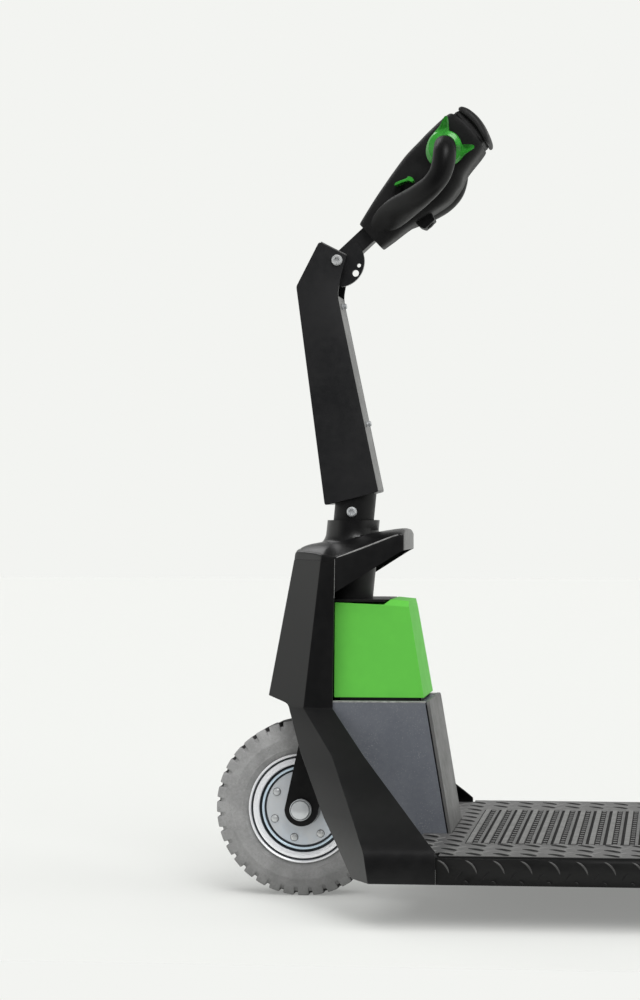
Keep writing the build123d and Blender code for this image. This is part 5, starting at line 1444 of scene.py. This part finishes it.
# %% [markdown]
# The mat is moulded rubber. Its middle is a panel of cross ribs, each with a comb of short teeth beside
# it, and round the panel lies a tread of lens marks that lean to either side in turn. A base sheet
# carries these small raised shapes by the hundred, so each shape has only a few faces.

# %% Mat base
mat_floor, mat_level, mat_top = 101.0, 102.4, 104.0
mat_front, mat_rear, mat_half = 228.5, 896.5, 294.0
wing_front, wing_half, notch_rear, notch_half = 185.0, 270.0, 226.4, 83.5
mat_plan = np.array([
    (mat_front, -mat_half), (mat_rear, -mat_half), (mat_rear, mat_half), (mat_front, mat_half),
    (mat_front, wing_half), (wing_front, wing_half), (wing_front, notch_half), (notch_rear, notch_half),
    (notch_rear, -notch_half), (wing_front, -notch_half), (wing_front, -wing_half),
    (mat_front, -wing_half),
])
put("mat_sheet", prism(mat_plan, deck_top, mat_floor, on_level), "deck_mat", edge=0.4)
panel_front, panel_rear, panel_half = 253.6, 884.0, 178.0
bar_inner = panel_half + 2.0
bar_plans = [
    (mat_front, mat_rear, -mat_half, -bar_inner), (mat_front, mat_rear, bar_inner, mat_half),
    (notch_rear, panel_front, -bar_inner, bar_inner), (panel_rear, mat_rear, -bar_inner, bar_inner),
    (wing_front, notch_rear, -wing_half, -notch_half), (wing_front, notch_rear, notch_half, wing_half),
    (notch_rear, mat_front, -wing_half, -bar_inner), (notch_rear, mat_front, bar_inner, wing_half),
]
frame_bars = [prism(rectangle(*plan), mat_floor, mat_level, on_level) for plan in bar_plans]
put("mat_frame", joined(*frame_bars), slot="mat_rubber", body="chassis")

# %% [markdown]
# The panel repeats along the platform: a smooth rib, a row of teeth, a strip behind them and a
# narrow groove. An Array modifier could repeat them, but one call that sets a block down at many
# places keeps all three rows in step, and each block has only five faces.


# %% Ribbed panel
def low_block(length, width, height, taper=0.5):
    """Raised bar: a foot rectangle, joined by four sloping sides to a smaller top rectangle."""
    corner = rectangle(-0.5, 0.5, -0.5, 0.5)
    foot = corner * (length, width)
    top = corner * (length - 2 * taper, width - 2 * taper)
    level = np.repeat([mat_floor - 0.2, mat_floor + height], 4)[:, None]
    points = np.concatenate([np.concatenate([foot, top]), level], axis=1)
    return points, [grid_faces(2, 4, wrap_columns=True), np.array([[4, 5, 6, 7]])]


def spots(xs, ys):
    """Every place of a grid of positions, on the mat."""
    x, y = np.meshgrid(xs, ys, indexing="ij")
    return np.stack([x, y, np.zeros_like(x)], axis=-1).reshape(-1, 3)


rib_pitch, rib_length = 24.6, 2 * panel_half + 6.0
relief = mat_top - mat_floor
rib_x = np.arange(259.4, 880.0, rib_pitch)
ribs = repeated(low_block(8.0, rib_length, relief), spots(rib_x, [0.0]))
strips = repeated(low_block(5.4, rib_length, relief * 0.6), spots(rib_x[:-1] + 14.0, [0.0]))
tooth_y = np.arange(-panel_half + 6.0, panel_half - 4.0, 21.6)
teeth = repeated(low_block(6.4, 9.0, relief * 0.42), spots(rib_x[:-1] + 7.9, tooth_y))
put("mat_ribs", joined(ribs, strips, teeth), slot="mat_rubber", body="chassis", smooth=20.0)

# %% [markdown]
# The tread round the panel keeps the skirt's pitch, as if one pattern wrapped over the platform's
# edge. The lens mark of the skirt serves again, laid flat: ridges that lean either way, in a lighter
# finish that is a painted highlight, and a thin dark patch beside each falling one, which is painted
# shade.

# %% Tread border
row_pitch = 41.6
tread_row = -278.6 + row_pitch * np.arange(14)
first_x = 236.0 + tread_pitch * np.arange(-1, 18)
second_x = first_x[:-1] + 17.5


def laid(mark):
    """A mark of the skirt laid flat on the mat: its outward side becomes up."""
    points = mark[0]
    return np.stack([points[:, 0], points[:, 2], mat_level - points[:, 1]], axis=-1), mark[1]


def clear_of_panel(places):
    """Places outside the ribbed panel and off the notch round the box."""
    along, off_middle = places[:, 0], np.abs(places[:, 1])
    beside = off_middle > panel_half + 14.0
    ahead = along < 250.0
    past_notch = along > 230.0
    on_mat = past_notch | (off_middle > 96.0)
    inside = (off_middle < 282.0) & (past_notch | (off_middle < 258.0))
    return places[(beside | ahead) & on_mat & inside]


falling = laid(lens_mark(30.0, 6.4, 1.55, 4.0, -48.0))
rising = laid(lens_mark(25.0, 5.2, 0.8, 2.4, 60.0))
shade_patch = laid(lens_mark(34.0, 13.0, 0.3, 3.4, -48.0))
falling_spots = clear_of_panel(spots(first_x, tread_row))
tread = joined(
    repeated(falling, falling_spots + (4.6, 5.0, 0.0)),
    repeated(rising, clear_of_panel(spots(second_x, tread_row + row_pitch / 2))),
)
shade_patches = repeated(shade_patch, falling_spots)
for name, shape, look in (("mat_border", tread, "mat_tread"), ("mat_dimples", shade_patches, "mat_groove")):
    put(name, shape, slot="mat_rubber", look=look, body="chassis", smooth=60.0, facing=(0, 0, 1))

# %% [markdown]
# The rear end rolls on two cast rollers and pulls with an upright peg on a tongue. None of this shows
# in the picture, so it follows what such tugs carry: a crowned roller with a hub groove, a plate
# tongue with broken edges, and a peg with a collar and a round nose.

# %% Rear rollers and coupling
roller_spot, roller_side = np.array([800.5, 0.0, 42.0]), 225.0
roller_half = np.array([
    (10.1, 25.0), (15.0, 25.0), (16.0, 23.6), (31.0, 23.0), (32.5, 25.0), (38.0, 25.0), (40.4, 24.2),
    (41.6, 22.4), (42.0, 19.0),
])
roller_profile = np.concatenate([roller_half * (1, -1), roller_half[::-1]])
for side, name in ((-1, "rear_roller_left"), (1, "rear_roller_right")):
    roller = turned(roller_profile, roller_spot + (0, side * roller_side, 0), steps=80, closed=True)
    put(name + "_wheel", roller, name, smooth=35.0)
peg_x, peg_radius, tongue_half, tip_reach = 952.5, 10.0, 38.0, 37.9
tongue_front, tongue_low, tongue_top = 860.5, 51.0, 63.0
tongue_tip = arc(1.0, -90, 90, 33) * (tip_reach, tongue_half) + (peg_x, 0.0)
tongue_plan = np.concatenate([tongue_tip, [(tongue_front, tongue_half), (tongue_front, -tongue_half)]])
put("tow_tongue_plate", prism(tongue_plan, tongue_low, tongue_top, on_level), "tow_tongue", edge=1.6)
peg_profile = [
    (0.0, tongue_top), (peg_radius, tongue_top), (peg_radius, 121.0), (9.6, 123.0), (8.2, 124.6),
    (5.0, 125.0), (0.0, 125.0),
]
put("tow_peg_pin", turned(peg_profile, (peg_x, 0, 0), (0, 0, 1), 48), "tow_peg", smooth=35.0)

# %% [markdown]
# Every other node keeps its CAD mesh, whose shape is already right, and takes the finish of its
# slot. Only the tiller's sleeve is darker, like the frame.

# %% Finishes on CAD nodes
darker_look = {"tiller_sleeve": "frame_black"}
for name, cad_node in frame["nodes"].items():
    cad_node.data.materials.clear()
    cad_node.data.materials.append(finishes[darker_look.get(name, slot_of[name])])
print("finished CAD nodes", len(frame["nodes"]))
